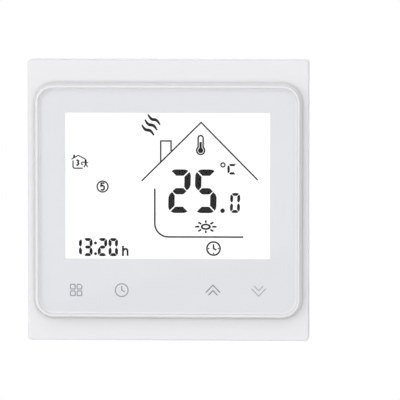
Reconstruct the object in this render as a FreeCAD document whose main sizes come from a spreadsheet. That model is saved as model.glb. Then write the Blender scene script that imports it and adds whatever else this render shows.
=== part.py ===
# Touch-screen room thermostat for a round or square flush wall box.
#
# Frame: X to the right, Z up, the screen looks along -Y.  The wall surface is the plane Y = 0 and the
# origin lies on it, midway between the two mounting screws.  Sizes are in millimetres.  "out" is a
# distance measured forward from the wall, so out = -Y: the trim and the screen have positive values,
# the rear box negative ones.
import FreeCAD, Part
import Sketcher
import math
import os
import re

SIZES = {
    # trim frame around the front
    "frame_side": (90.0, "side of the square trim frame"),
    "frame_corner": (1.1, "corner radius of the trim frame"),
    "frame_front": (9.2, "front face of the trim frame, out from the wall"),
    "frame_plate": (2.2, "thickness of the frame's front plate"),
    "frame_skirt": (1.2, "wall of the frame's skirt"),
    "frame_edge": (0.6, "rounding of the frame's front edges"),
    "skirt_gap": (0.3, "gap between the skirt and the wall"),
    "air_slot_long": (7.0, "length of an air slot in the skirt"),
    "air_slot_wide": (1.4, "width of an air slot"),
    "air_slot_pitch": (10.5, "spacing of the air slots"),
    "pry_long": (10.0, "length of the notch for prying the front off"),
    "pry_deep": (1.0, "depth of the notch"),
    # lens and the raised housing that holds it
    "lens_side": (3.75, "trim left beside the lens"),
    "lens_end": (8.95, "trim left above and below the lens"),
    "lens_corner": (4.7, "corner radius of the lens"),
    "lens_front": (14.6, "front face of the lens, out from the wall"),
    "lens_thick": (2.0, "thickness of the lens"),
    "lens_edge": (0.5, "rounding of the lens edge"),
    "lens_proud": (0.6, "how far the lens stands out of its rim"),
    "lens_gap": (0.1, "clearance round the lens"),
    "rim_wall": (0.8, "width of the rim round the lens"),
    "rim_edge": (0.25, "rounding of the rim"),
    "side_flare": (0.8, "how much each raised side slopes outwards"),
    "housing_gap": (0.15, "clearance between housing and trim frame"),
    "housing_wall": (1.2, "side wall of the housing"),
    "shelf_thick": (1.5, "shelf behind the lens"),
    "flange_thick": (1.6, "flange behind the trim frame"),
    "flange_gap": (0.3, "clearance between flange and skirt"),
    "film_thick": (0.15, "printed film behind the lens"),
    "film_inset": (0.2, "film edge inside the lens edge"),
    "tape_thick": (0.25, "adhesive tape under the film"),
    "tape_width": (3.0, "width of the tape"),
    # display
    "window_side": (8.55, "printed border beside the clear window"),
    "window_over": (7.85, "printed border above the clear window"),
    "window_under": (17.6, "printed border below the clear window"),
    "window_corner": (0.4, "corner radius of the clear window"),
    "display_side": (1.5, "display glass hidden beside the window"),
    "display_end": (1.6, "display glass hidden above and below the window"),
    "display_ledge": (3.0, "contact ledge on the rear glass"),
    "display_gap": (0.1, "gap between display and film"),
    "display_slack": (0.2, "clearance round the display"),
    "glass_thick": (0.7, "each display glass"),
    "polariser": (0.2, "each polarising film"),
    "polariser_inset": (1.0, "polariser edge inside the glass edge"),
    "guide_thick": (1.6, "light guide"),
    "light_wall": (1.3, "wall of the backlight frame"),
    "light_inset": (0.3, "backlight frame edge inside the glass edge"),
    "tray_floor": (0.95, "floor of the backlight frame"),
    "light_gap": (0.1, "clearance round the light guide"),
    "led_side": (0.8, "side of a backlight lamp"),
    "led_length": (3.0, "length of a backlight lamp"),
    "led_pitch": (12.0, "spacing of the backlight lamps"),
    "contact_width": (0.5, "display contact, width"),
    "contact_thick": (0.35, "display contact, thickness"),
    "contact_pitch": (2.3, "spacing of the display contacts"),
    # control board
    "board_gap": (1.1, "clearance round the control board"),
    "board_corner": (1.5, "corner radius of the control board"),
    "board_thick": (1.6, "thickness of each board"),
    "boss_side": (2.3, "board screw from the board's side"),
    "boss_end": (3.5, "board screw from the board's upper or lower edge"),
    "boss_radius": (1.9, "screw boss in the housing"),
    "pilot_radius": (1.0, "screw pilot hole"),
    "small_shank": (0.95, "radius of the small screws"),
    "small_head": (1.9, "head radius of the small screws"),
    "small_head_tall": (1.0, "head height of the small screws"),
    "small_recess_deep": (0.6, "cross recess of the small screws, depth"),
    "small_recess_reach": (2.2, "cross recess of the small screws, tip to tip"),
    "small_recess_width": (0.5, "cross recess of the small screws, slot width"),
    "small_reach": (2.2, "thread of a board screw in its boss"),
    "screw_pass": (1.25, "clearance hole for a small screw"),
    "key_side": (12.05, "outer touch keys from the lens side"),
    "key_pitch": (14.6, "spacing of the touch keys"),
    "key_rise": (7.5, "touch keys above the lens's lower edge"),
    "post_key_radius": (3.2, "conductive post under a touch key, radius"),
    "post_key_gap": (0.5, "clearance round a conductive post"),
    # snap fingers
    "finger_x": (20.0, "snap finger from the middle"),
    "finger_inset": (3.3, "snap finger from the flange edge"),
    "finger_width": (6.0, "snap finger, width"),
    "finger_thick": (1.2, "snap finger, thickness"),
    "finger_end": (0.8, "end of the finger, out from the wall"),
    "finger_gap": (0.5, "clearance round a finger"),
    # base plate
    "base_inset": (0.6, "clearance between base plate and skirt"),
    "base_corner": (1.0, "corner radius of the base plate"),
    "base_thick": (2.4, "thickness of the base plate"),
    "base_rim": (1.2, "stiffening rim, width"),
    "base_rim_tall": (2.0, "stiffening rim, height"),
    "mount_x": (30.0, "mounting screw from the middle"),
    "mount_slot": (8.0, "mounting slot, length over its ends"),
    "mount_slot_half": (2.2, "mounting slot, half width"),
    "mount_head": (3.5, "mounting screw head, radius"),
    "mount_head_tall": (2.6, "mounting screw head, height"),
    "mount_neck": (1.9, "plain neck under the head, radius"),
    "mount_thread": (2.0, "mounting screw thread, radius"),
    "mount_length": (25.0, "mounting screw, length under the head"),
    "mount_point": (0.8, "chamfer at the screw's end"),
    # rear box
    "box_height": (50.0, "rear box, height"),
    "box_cheek": (2.85, "side wall beside the terminal block"),
    "parts_row": (46.8, "width that the relay, transformer and fuse need side by side"),
    "box_depth": (28.0, "rear box, depth into the wall"),
    "box_corner": (2.0, "rear box, corner radius"),
    "box_edge": (0.8, "rounding of the box's back edges"),
    "box_wall": (1.6, "wall of the rear box"),
    "box_boss_edge": (3.7, "box screw from the box's outer faces"),
    "box_boss_rise": (2.1, "lower box screws above the partition"),
    "box_boss_radius": (2.3, "screw boss in the box"),
    "post_radius": (1.9, "post between base plate and power board"),
    "box_reach": (9.0, "thread of a box screw in its boss"),
    "power_board_out": (3.6, "front of the power board behind the wall plane"),
    "power_board_gap": (0.2, "clearance round the power board"),
    # plug connection between the two boards
    "plug_z": (17.0, "plug connection above the middle"),
    "plug_pitch": (2.54, "spacing of the pins"),
    "plug_rows": (2.0, "rows of pins"),
    "plug_columns": (6.0, "columns of pins"),
    "pin_side": (0.64, "square pin"),
    "pin_reach": (6.0, "free length of a pin"),
    "pin_block": (2.5, "plastic block on the pins"),
    "pin_hole": (0.94, "square hole in the socket"),
    "socket_gap": (0.1, "gap between socket and pin block"),
    "socket_floor": (1.0, "floor of the socket"),
    "window_gap": (1.0, "clearance round the socket in the base plate"),
    # terminal block
    "pole_pitch": (7.5, "spacing of the terminals"),
    "pole_count": (6.0, "number of terminals"),
    "block_end": (0.5, "extra width at each end of the terminal block"),
    "block_height": (13.3, "terminal block, height"),
    "block_inset": (0.2, "wire side of the block inside the box's lower face"),
    "block_tall": (16.1, "terminal block, front to back"),
    "bay_gap": (0.15, "clearance round the terminal block"),
    "bay_wall": (1.4, "partition above the terminal block"),
    "cage_width": (5.4, "terminal cage, width"),
    "cage_tall": (9.2, "terminal cage, front to back"),
    "cage_length": (5.5, "terminal cage along the wire"),
    "cage_side": (0.75, "cage side wall"),
    "cage_floor": (0.9, "cage floor"),
    "cage_roof": (1.6, "threaded roof of the cage"),
    "cage_gap": (0.2, "clearance beside a cage"),
    "cage_start": (7.0, "open cage, floor behind the wall plane"),
    "cage_travel": (2.5, "how far a cage closes"),
    "end_gap": (0.3, "clearance at each end of the cage's travel"),
    "bar_width": (3.4, "contact bar, width"),
    "bar_thick": (1.0, "contact bar, thickness"),
    "bar_gap": (0.1, "gap between screw tip and bar"),
    "leg_setback": (2.4, "bar leg above the chamber"),
    "wire_mouth": (3.8, "width of a wire mouth"),
    "wire_space": (3.6, "wire space in an open cage"),
    "mouth_wall": (1.9, "wall at the wire mouths"),
    "clamp_radius": (1.5, "clamp screw, thread radius"),
    "clamp_hole": (1.55, "threaded hole in the cage, radius"),
    "clamp_head": (2.0, "clamp screw, head radius"),
    "clamp_head_tall": (1.9, "clamp screw, head height"),
    "clamp_recess_deep": (1.1, "clamp screw, depth of its cross recess"),
    "clamp_recess_reach": (2.8, "clamp screw, recess tip to tip"),
    "clamp_recess_width": (0.7, "clamp screw, slot width of the recess"),
    "clamp_mouth": (2.25, "screw mouth in the block, radius"),
    "seat_gap": (0.05, "gap between screw head and chamber"),
}

TERMS = re.compile(r"[a-z_]+")
doc = FreeCAD.newDocument("RoomThermostat")
sheet = doc.addObject("Spreadsheet::Sheet", "Sizes")
pieces = {}


def fill_sheet():
    """One row for each size: what it is, its value under its alias."""
    for row, (alias, (size, meaning)) in enumerate(SIZES.items(), start=1):
        sheet.set(f"A{row}", meaning)
        sheet.set(f"B{row}", str(size))
        sheet.setAlias(f"B{row}", alias)
    doc.recompute()


def bound(text):
    """The same formula with each size name pointing at its cell."""
    return TERMS.sub(lambda m: f"Sizes.{m[0]}" if m[0] in SIZES else m[0], str(text))


def number(text):
    """The value that a formula has now."""
    return float(sheet.evalExpression(bound(text)))


def count(text):
    return round(number(text))


def bind(thing, **formulas):
    for name, text in formulas.items():
        thing.setExpression(name.replace("__", "."), bound(text))


# ---------------------------------------------------------------- places that several pieces share

FRAME_BACK = "(frame_front - frame_plate)"
SKIRT_INSIDE = "(frame_side - 2 * frame_skirt)"
FLANGE_SIDE = f"({SKIRT_INSIDE} - 2 * flange_gap)"
LENS_WIDTH = "(frame_side - 2 * lens_side)"
LENS_HEIGHT = "(frame_side - 2 * lens_end)"
RIM_WIDTH = f"({LENS_WIDTH} + 2 * lens_gap + 2 * rim_wall)"
RIM_HEIGHT = f"({LENS_HEIGHT} + 2 * lens_gap + 2 * rim_wall)"
RIM_CORNER = "(lens_corner + lens_gap + rim_wall)"
RIM_FRONT = "(lens_front - lens_proud)"
FOOT_WIDTH = f"({RIM_WIDTH} + 2 * side_flare)"
FOOT_HEIGHT = f"({RIM_HEIGHT} + 2 * side_flare)"
FOOT_CORNER = f"({RIM_CORNER} + side_flare)"
LENS_BACK = "(lens_front - lens_thick)"
FILM_BACK = f"({LENS_BACK} - film_thick)"
SHELF_FRONT = f"({FILM_BACK} - tape_thick)"
SHELF_BACK = f"({SHELF_FRONT} - shelf_thick)"
FLANGE_BACK = f"({FRAME_BACK} - flange_thick)"
DISPLAY_FRONT = f"({FILM_BACK} - display_gap)"
GLASS_FRONT = f"({DISPLAY_FRONT} - polariser)"
GLASS_MIDDLE = f"({GLASS_FRONT} - glass_thick)"
GLASS_BACK = f"({GLASS_MIDDLE} - glass_thick)"
GUIDE_FRONT = f"({GLASS_BACK} - polariser)"
GUIDE_BACK = f"({GUIDE_FRONT} - guide_thick)"
WINDOW_WIDTH = f"({LENS_WIDTH} - 2 * window_side)"
WINDOW_HEIGHT = f"({LENS_HEIGHT} - window_over - window_under)"
WINDOW_Z = "((window_under - window_over) / 2)"
DISPLAY_WIDTH = f"({WINDOW_WIDTH} + 2 * display_side)"
DISPLAY_HEIGHT = f"({WINDOW_HEIGHT} + 2 * display_end)"
DISPLAY_TOP = f"({WINDOW_Z} + {DISPLAY_HEIGHT} / 2)"
DISPLAY_LOW = f"({WINDOW_Z} - {DISPLAY_HEIGHT} / 2)"
LEDGE_LOW = f"({DISPLAY_LOW} - display_ledge)"
BOARD_FRONT = f"({GUIDE_BACK} - tray_floor)"
BOARD_BACK = f"({BOARD_FRONT} - board_thick)"
CAVITY_WIDTH = f"({RIM_WIDTH} - 2 * housing_wall)"
CAVITY_HEIGHT = f"({RIM_HEIGHT} - 2 * housing_wall)"
BOARD_WIDTH = f"({CAVITY_WIDTH} - 2 * board_gap)"
BOARD_HEIGHT = f"({CAVITY_HEIGHT} - 2 * board_gap)"
BOARD_LOW = f"(-{BOARD_HEIGHT} / 2)"
BOSS_X = f"({BOARD_WIDTH} / 2 - boss_side)"
BOSS_Z = f"({BOARD_HEIGHT} / 2 - boss_end)"
KEY_OUTER = f"({LENS_WIDTH} / 2 - key_side)"
KEY_INNER = f"({KEY_OUTER} - key_pitch)"
KEY_Z = f"(key_rise - {LENS_HEIGHT} / 2)"
KEYS = [f"-{KEY_OUTER}", f"-{KEY_INNER}", KEY_INNER, KEY_OUTER]
FINGER_Z = f"({FLANGE_SIDE} / 2 - finger_inset)"
BASE_SIDE = f"({SKIRT_INSIDE} - 2 * base_inset)"
HEAD_FRONT = "(base_thick + mount_head_tall)"
BOARD2_FRONT = "(-power_board_out)"
BOARD2_BACK = "(-power_board_out - board_thick)"
BLOCK_WIDTH = "(pole_count * pole_pitch + 2 * block_end)"
BLOCK_LOW = "(block_inset - box_height / 2)"
BLOCK_TOP = f"({BLOCK_LOW} + block_height)"
BOX_WIDTH = f"max({BLOCK_WIDTH} + 2 * bay_gap + 2 * box_cheek; parts_row + 2 * box_wall)"
BOX_FLOOR = "(box_wall - box_depth)"
ROOM_SIDE = f"({BOX_WIDTH} / 2 - box_wall)"
ROOM_TOP = "(box_height / 2 - box_wall)"
ROOM_LOW = f"({BLOCK_TOP} + bay_gap + bay_wall)"
BOX_BOSS_X = f"({BOX_WIDTH} / 2 - box_boss_edge)"
BOX_BOSS_TOP = "(box_height / 2 - box_boss_edge)"
BOX_BOSS_LOW = f"({ROOM_LOW} + box_boss_rise)"
PLUG_WIDTH = "(plug_columns * plug_pitch + 0.1)"
PLUG_HEIGHT = "(plug_rows * plug_pitch)"
BLOCK_END = f"({BOARD2_BACK} - block_tall)"
CHAMBER_FRONT = "(-cage_start + end_gap)"
CHAMBER_BACK = "(-cage_start - cage_tall - cage_travel - end_gap)"
CHAMBER_LOW = f"({BLOCK_LOW} + mouth_wall)"
CHAMBER_TOP = f"({CHAMBER_LOW} + cage_length + 2 * end_gap)"
POLE_Z = f"(({CHAMBER_LOW} + {CHAMBER_TOP}) / 2)"
LEG_Z = f"({CHAMBER_TOP} + leg_setback)"
BAR_FRONT = "(-cage_start - cage_floor - wire_space)"
BAR_BACK = f"({BAR_FRONT} - bar_thick)"


def mirrored(x, z):
    """The four places at plus and minus x and z."""
    return [(f"{a}{x}", f"{b}{z}") for b in ("", "-") for a in ("-", "")]


def pole_places():
    """Formula for the X of each terminal, from left to right."""
    return [f"(({i} - (pole_count - 1) / 2) * pole_pitch)" for i in range(count("pole_count"))]


# ---------------------------------------------------------------- sketches and features

def new_body(name):
    body = doc.addObject("PartDesign::Body", name)
    body.Label = name
    pieces[name] = body
    return body


def sketch_at(body, name, level, plane="XZ_Plane"):
    """A sketch parallel to an origin plane; the XZ plane looks outwards, so its level is the out value."""
    flat = next(f for f in body.Origin.OriginFeatures if f.Role == plane)
    drawing = body.newObject("Sketcher::SketchObject", name)
    drawing.AttachmentSupport = (flat, "")
    drawing.MapMode = "FlatFace"
    drawing.setExpression("AttachmentOffset.Base.z", bound(level))
    return drawing


def dimension(drawing, constraint, formula):
    drawing.setExpression(f"Constraints[{drawing.addConstraint(constraint)}]", bound(formula))


def straight_loop(drawing, corners):
    first = drawing.GeometryCount
    for (x1, z1), (x2, z2) in zip(corners, corners[1:] + corners[:1]):
        drawing.addGeometry(Part.LineSegment(FreeCAD.Vector(x1, z1), FreeCAD.Vector(x2, z2)), False)
    return first


def rectangle(drawing, width, height, x="0", z="0"):
    """A rectangle of four lines about the centre x, z."""
    w, h, cx, cz = number(width), number(height), number(x), number(z)
    left, right, low, top = cx - w / 2, cx + w / 2, cz - h / 2, cz + h / 2
    n = straight_loop(drawing, [(left, low), (right, low), (right, top), (left, top)])
    for i in range(4):
        drawing.addConstraint(Sketcher.Constraint("Coincident", n + i, 2, n + (i + 1) % 4, 1))
    for i, direction in enumerate(("Horizontal", "Vertical", "Horizontal", "Vertical")):
        drawing.addConstraint(Sketcher.Constraint(direction, n + i))
    dimension(drawing, Sketcher.Constraint("DistanceX", n, 1, n, 2, w), width)
    dimension(drawing, Sketcher.Constraint("DistanceY", n + 1, 1, n + 1, 2, h), height)
    dimension(drawing, Sketcher.Constraint("DistanceX", -1, 1, n, 1, left), f"({x}) - ({width}) / 2")
    dimension(drawing, Sketcher.Constraint("DistanceY", -1, 1, n, 1, low), f"({z}) - ({height}) / 2")


def rounded_rectangle(drawing, width, height, radius, x="0", z="0"):
    """A rectangle about the centre x, z whose corners are arcs that meet the sides smoothly."""
    w, h, r, cx, cz = number(width), number(height), number(radius), number(x), number(z)
    left, right, low, top = cx - w / 2, cx + w / 2, cz - h / 2, cz + h / 2
    sides = [((left + r, low), (right - r, low)), ((right, low + r), (right, top - r)),
             ((right - r, top), (left + r, top)), ((left, top - r), (left, low + r))]
    centres = [(right - r, low + r), (right - r, top - r), (left + r, top - r), (left + r, low + r)]
    n = drawing.GeometryCount
    for start, end in sides:
        drawing.addGeometry(Part.LineSegment(FreeCAD.Vector(*start), FreeCAD.Vector(*end)), False)
    for i, centre in enumerate(centres):
        circle = Part.Circle(FreeCAD.Vector(*centre), FreeCAD.Vector(0, 0, 1), r)
        start = math.radians(90 * (i - 1))
        drawing.addGeometry(Part.ArcOfCircle(circle, start, start + math.pi / 2), False)
    for i in range(4):
        drawing.addConstraint(Sketcher.Constraint("Tangent", n + i, 2, n + 4 + i, 1))
        drawing.addConstraint(Sketcher.Constraint("Tangent", n + 4 + i, 2, n + (i + 1) % 4, 1))
    for i, direction in enumerate(("Horizontal", "Vertical", "Horizontal", "Vertical")):
        drawing.addConstraint(Sketcher.Constraint(direction, n + i))
    for i in (5, 6, 7):
        drawing.addConstraint(Sketcher.Constraint("Equal", n + 4, n + i))
    dimension(drawing, Sketcher.Constraint("Radius", n + 4, r), radius)
    dimension(drawing, Sketcher.Constraint("DistanceX", n + 3, 1, n + 1, 1, w), width)
    dimension(drawing, Sketcher.Constraint("DistanceY", n, 1, n + 2, 1, h), height)
    dimension(drawing, Sketcher.Constraint("DistanceX", -1, 1, n + 3, 1, left), f"({x}) - ({width}) / 2")
    dimension(drawing, Sketcher.Constraint("DistanceY", -1, 1, n, 1, low), f"({z}) - ({height}) / 2")


def circle(drawing, radius, x="0", z="0"):
    r, cx, cz = number(radius), number(x), number(z)
    ring = Part.Circle(FreeCAD.Vector(cx, cz), FreeCAD.Vector(0, 0, 1), r)
    n = drawing.addGeometry(ring, False)
    dimension(drawing, Sketcher.Constraint("Radius", n, r), radius)
    dimension(drawing, Sketcher.Constraint("DistanceX", -1, 1, n, 3, cx), x)
    dimension(drawing, Sketcher.Constraint("DistanceY", -1, 1, n, 3, cz), z)


def pad(body, drawing, length, taper=None):
    """Material from the sketch outwards along its normal."""
    feature = body.newObject("PartDesign::Pad", f"{drawing.Name}_pad")
    feature.Profile = drawing
    feature.setExpression("Length", bound(length))
    if taper:
        feature.setExpression("TaperAngle", bound(taper))
    drawing.Visibility = False
    doc.recompute()
    return feature


def pocket(body, drawing, length):
    """A cut from the sketch against its normal, which for the XZ plane is towards the back."""
    before = body.Shape.Volume
    feature = body.newObject("PartDesign::Pocket", f"{drawing.Name}_cut")
    feature.Profile = drawing
    feature.setExpression("Length", bound(length))
    doc.recompute()
    if body.Shape.Volume > before - 1e-3:
        raise RuntimeError(f"{feature.Name} cuts nothing")
    return feature


def level_edges(body, level, longer_than="0"):
    """Names of the body's edges that lie in the plane out = level."""
    y = -number(level)
    names = []
    for i, edge in enumerate(body.Shape.Edges, start=1):
        box = edge.BoundBox
        if abs(box.YMin - y) < 1e-4 and abs(box.YMax - y) < 1e-4 and edge.Length > number(longer_than):
            names.append(f"Edge{i}")
    return names


def fillet(body, edges, radius):
    base = body.Tip
    feature = body.newObject("PartDesign::Fillet", f"{body.Name}_rounding")
    feature.Base = (base, edges)
    feature.setExpression("Radius", bound(radius))
    doc.recompute()
    return feature


# ---------------------------------------------------------------- primitives and booleans

def block(name, x, out, z):
    """A box between two values on each axis."""
    solid = doc.addObject("Part::Box", name)
    bind(solid, Length=f"({x[1]}) - ({x[0]})", Width=f"({out[1]}) - ({out[0]})",
         Height=f"({z[1]}) - ({z[0]})", Placement__Base__x=x[0], Placement__Base__y=f"-({out[1]})",
         Placement__Base__z=z[0])
    return solid


def centred(middle, width):
    return (f"({middle}) - ({width}) / 2", f"({middle}) + ({width}) / 2")


def cylinder(name, x, out, z, radius):
    """A cylinder whose axis lies front to back, between two out values."""
    solid = doc.addObject("Part::Cylinder", name)
    solid.Placement.Rotation = FreeCAD.Rotation(FreeCAD.Vector(1, 0, 0), -90)
    bind(solid, Radius=radius, Height=f"({out[1]}) - ({out[0]})", Placement__Base__x=x,
         Placement__Base__y=f"-({out[1]})", Placement__Base__z=z)
    return solid


def lying_cylinder(name, x, out, z, radius):
    """A cylinder whose axis lies left to right, between two x values."""
    solid = doc.addObject("Part::Cylinder", name)
    solid.Placement.Rotation = FreeCAD.Rotation(FreeCAD.Vector(0, 1, 0), 90)
    bind(solid, Radius=radius, Height=f"({x[1]}) - ({x[0]})", Placement__Base__x=x[0],
         Placement__Base__y=f"-({out})", Placement__Base__z=z)
    return solid


def upright_cylinder(name, x, out, z, radius):
    """A cylinder whose axis is upright, between two z values."""
    solid = doc.addObject("Part::Cylinder", name)
    bind(solid, Radius=radius, Height=f"({z[1]}) - ({z[0]})", Placement__Base__x=x,
         Placement__Base__y=f"-({out})", Placement__Base__z=z[0])
    return solid


def joined(name, solids):
    fused = doc.addObject("Part::MultiFuse", name)
    fused.Shapes = solids
    fused.Refine = True
    return fused


def cut(name, base, tools):
    """The base without the tools."""
    result = doc.addObject("Part::Cut", name)
    result.Base = base
    result.Tool = tools[0] if len(tools) == 1 else joined(f"{name}_tools", tools)
    return result


def group(name, solids):
    """Separate like pieces that share one node."""
    together = doc.addObject("Part::Compound", name)
    together.Links = solids
    return together


def piece(name, thing):
    thing.Label = name
    pieces[name] = thing
    return thing


def cross_recess(name, x, z, face, depth, reach, width):
    """Two crossed slots sunk in a screw head; face is the head's outer face, depth is signed inwards."""
    span = sorted((0.0, number(depth)))
    out = (f"({face}) + ({span[0]})", f"({face}) + ({span[1]})")
    return [block(f"{name}_slot_a", centred(x, reach), out, centred(z, width)),
            block(f"{name}_slot_b", centred(x, width), out, centred(z, reach))]


# ---------------------------------------------------------------- front: lens, housing and trim

def make_lens():
    """Clear acrylic lens with a rounded front edge."""
    body = new_body("touch_lens")
    outline = sketch_at(body, "LensOutline", LENS_BACK)
    rounded_rectangle(outline, LENS_WIDTH, LENS_HEIGHT, "lens_corner")
    pad(body, outline, "lens_thick")
    fillet(body, level_edges(body, "lens_front"), "lens_edge")


def make_film():
    """Printed film behind the lens, with the clear window of the display."""
    body = new_body("lens_print_film")
    outline = sketch_at(body, "FilmOutline", FILM_BACK)
    rounded_rectangle(outline, f"{LENS_WIDTH} - 2 * film_inset", f"{LENS_HEIGHT} - 2 * film_inset",
                      "lens_corner - film_inset")
    rounded_rectangle(outline, WINDOW_WIDTH, WINDOW_HEIGHT, "window_corner", "0", WINDOW_Z)
    pad(body, outline, "film_thick")


def make_tape():
    """Adhesive tape ring that holds the lens in the housing."""
    body = new_body("lens_tape")
    outline = sketch_at(body, "TapeOutline", SHELF_FRONT)
    inset = "(2 * film_inset)"
    width, height = f"({LENS_WIDTH} - 2 * {inset})", f"({LENS_HEIGHT} - 2 * {inset})"
    rounded_rectangle(outline, width, height, f"lens_corner - {inset}")
    rounded_rectangle(outline, f"{width} - 2 * tape_width", f"{height} - 2 * tape_width",
                      f"lens_corner - {inset} - tape_width")
    pad(body, outline, "tape_thick")


def make_housing():
    """Moulded housing: raised tray for the lens, flange behind the trim, bosses and four snap fingers."""
    body = new_body("front_housing")
    raised = sketch_at(body, "RaisedFoot", "frame_front")
    rounded_rectangle(raised, FOOT_WIDTH, FOOT_HEIGHT, FOOT_CORNER)
    pad(body, raised, f"{RIM_FRONT} - frame_front", f"-atan(side_flare / ({RIM_FRONT} - frame_front))")
    foot = sketch_at(body, "StraightFoot", FRAME_BACK)
    rounded_rectangle(foot, FOOT_WIDTH, FOOT_HEIGHT, FOOT_CORNER)
    pad(body, foot, "frame_plate")
    flange = sketch_at(body, "Flange", FLANGE_BACK)
    rounded_rectangle(flange, FLANGE_SIDE, FLANGE_SIDE, "frame_corner")
    pad(body, flange, "flange_thick")
    recess = sketch_at(body, "LensRecess", RIM_FRONT)
    rounded_rectangle(recess, f"{LENS_WIDTH} + 2 * lens_gap", f"{LENS_HEIGHT} + 2 * lens_gap",
                      "lens_corner + lens_gap")
    pocket(body, recess, f"{RIM_FRONT} - {SHELF_FRONT}")
    cavity = sketch_at(body, "RearCavity", SHELF_BACK)
    rounded_rectangle(cavity, CAVITY_WIDTH, CAVITY_HEIGHT, f"{RIM_CORNER} - housing_wall")
    pocket(body, cavity, f"{SHELF_BACK} - {FLANGE_BACK}")
    opening = sketch_at(body, "DisplayOpening", SHELF_FRONT)
    opening_low = f"({LEDGE_LOW} - contact_thick - display_slack)"
    opening_top = f"({DISPLAY_TOP} + display_slack)"
    rectangle(opening, f"{DISPLAY_WIDTH} + 2 * display_slack", f"{opening_top} - {opening_low}", "0",
              f"({opening_top} + {opening_low}) / 2")
    for x in KEYS:
        circle(opening, "post_key_radius + post_key_gap", x, KEY_Z)
    pocket(body, opening, "shelf_thick")
    bosses = sketch_at(body, "Bosses", BOARD_FRONT)
    for x, z in mirrored(BOSS_X, BOSS_Z):
        circle(bosses, "boss_radius", x, z)
        circle(bosses, "pilot_radius", x, z)
    pad(body, bosses, f"{SHELF_BACK} - {BOARD_FRONT}")
    fingers = sketch_at(body, "Fingers", "finger_end")
    for x, z in mirrored("finger_x", FINGER_Z):
        rectangle(fingers, "finger_width", "finger_thick", x, z)
    pad(body, fingers, f"{FLANGE_BACK} - finger_end")
    fillet(body, level_edges(body, RIM_FRONT), "rim_edge")


def make_frame():
    """Square trim frame with a skirt; air slots and a pry notch in the lower side."""
    body = new_body("outer_frame")
    plate = sketch_at(body, "FramePlate", FRAME_BACK)
    rounded_rectangle(plate, "frame_side", "frame_side", "frame_corner")
    pad(body, plate, "frame_plate")
    fillet(body, level_edges(body, "frame_front"), "frame_edge")
    opening = sketch_at(body, "FrameOpening", "frame_front")
    rounded_rectangle(opening, f"{FOOT_WIDTH} + 2 * housing_gap", f"{FOOT_HEIGHT} + 2 * housing_gap",
                      f"{FOOT_CORNER} + housing_gap")
    pocket(body, opening, "frame_plate")
    skirt = sketch_at(body, "Skirt", "skirt_gap")
    rounded_rectangle(skirt, "frame_side", "frame_side", "frame_corner")
    rectangle(skirt, SKIRT_INSIDE, SKIRT_INSIDE)
    pad(body, skirt, f"{FRAME_BACK} - skirt_gap")
    slots = sketch_at(body, "AirSlots", "frame_skirt - frame_side / 2", "XY_Plane")
    air_slot_rise = "0.4"
    slot_out = f"((base_thick + {FLANGE_BACK}) / 2 + {air_slot_rise})"
    for i in (-3, -2, -1, 1, 2, 3):
        rectangle(slots, "air_slot_long", "air_slot_wide", f"{i} * air_slot_pitch", f"-{slot_out}")
    rectangle(slots, "pry_long", "2 * pry_deep", "0", "-skirt_gap - pry_deep")
    pocket(body, slots, "frame_skirt")


# ---------------------------------------------------------------- front: display

def make_display():
    """Two glasses, two polarisers and the row of clip contacts along the ledge."""
    across = centred("0", DISPLAY_WIDTH)
    piece("lcd_front_glass", block("FrontGlass", across, (GLASS_MIDDLE, GLASS_FRONT),
                                   (DISPLAY_LOW, DISPLAY_TOP)))
    piece("lcd_rear_glass", block("RearGlass", across, (GLASS_BACK, GLASS_MIDDLE), (LEDGE_LOW, DISPLAY_TOP)))
    film_x = centred("0", f"{DISPLAY_WIDTH} - 2 * polariser_inset")
    film_z = (f"{DISPLAY_LOW} + polariser_inset", f"{DISPLAY_TOP} - polariser_inset")
    piece("lcd_polarisers", group("Polarisers", [
        block("FrontPolariser", film_x, (GLASS_FRONT, DISPLAY_FRONT), film_z),
        block("RearPolariser", film_x, (GUIDE_FRONT, GLASS_BACK), film_z)]))
    half = int(number(f"{DISPLAY_WIDTH} / 2 - contact_pitch") / number("contact_pitch"))
    contacts = []
    for i in range(-half, half + 1):
        x = centred(f"{i} * contact_pitch", "contact_width")
        edge = (f"{LEDGE_LOW} - contact_thick", LEDGE_LOW)
        contacts.append(block(f"Contact_{i + half}", x, (BOARD_FRONT, GLASS_MIDDLE), edge))
    piece("lcd_pins", group("DisplayContacts", contacts))


def make_backlight():
    """Light guide in its white frame, with a row of lamps along the upper edge."""
    outer_x, outer_z = f"({DISPLAY_WIDTH} - 2 * light_inset)", f"({DISPLAY_HEIGHT} - 2 * light_inset)"
    hole_x, hole_z = f"({outer_x} - 2 * light_wall)", f"({outer_z} - 2 * light_wall)"
    lamp_row = "(led_side + 2 * light_gap)"
    guide_low = f"({WINDOW_Z} - {hole_z} / 2 + light_gap)"
    guide_top = f"({WINDOW_Z} + {hole_z} / 2 - {lamp_row})"
    piece("backlight_diffuser", block("LightGuide", centred("0", f"{hole_x} - 2 * light_gap"),
                                      (GUIDE_BACK, GUIDE_FRONT), (guide_low, guide_top)))
    tray = block("LightTray", centred("0", outer_x), (BOARD_FRONT, GUIDE_FRONT), centred(WINDOW_Z, outer_z))
    hollow = block("LightHollow", centred("0", hole_x), (GUIDE_BACK, GUIDE_FRONT), centred(WINDOW_Z, hole_z))
    piece("backlight_frame", cut("BacklightFrame", tray, [hollow]))
    lamps = []
    for i in (-2, -1, 0, 1, 2):
        z = (f"{guide_top} + light_gap", f"{guide_top} + light_gap + led_side")
        lamps.append(block(f"Lamp_{i + 2}", centred(f"{i} * led_pitch", "led_length"),
                           (GUIDE_BACK, f"{GUIDE_BACK} + led_side"), z))
    piece("backlight_leds", group("BacklightLamps", lamps))


# ---------------------------------------------------------------- front: control board

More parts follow.
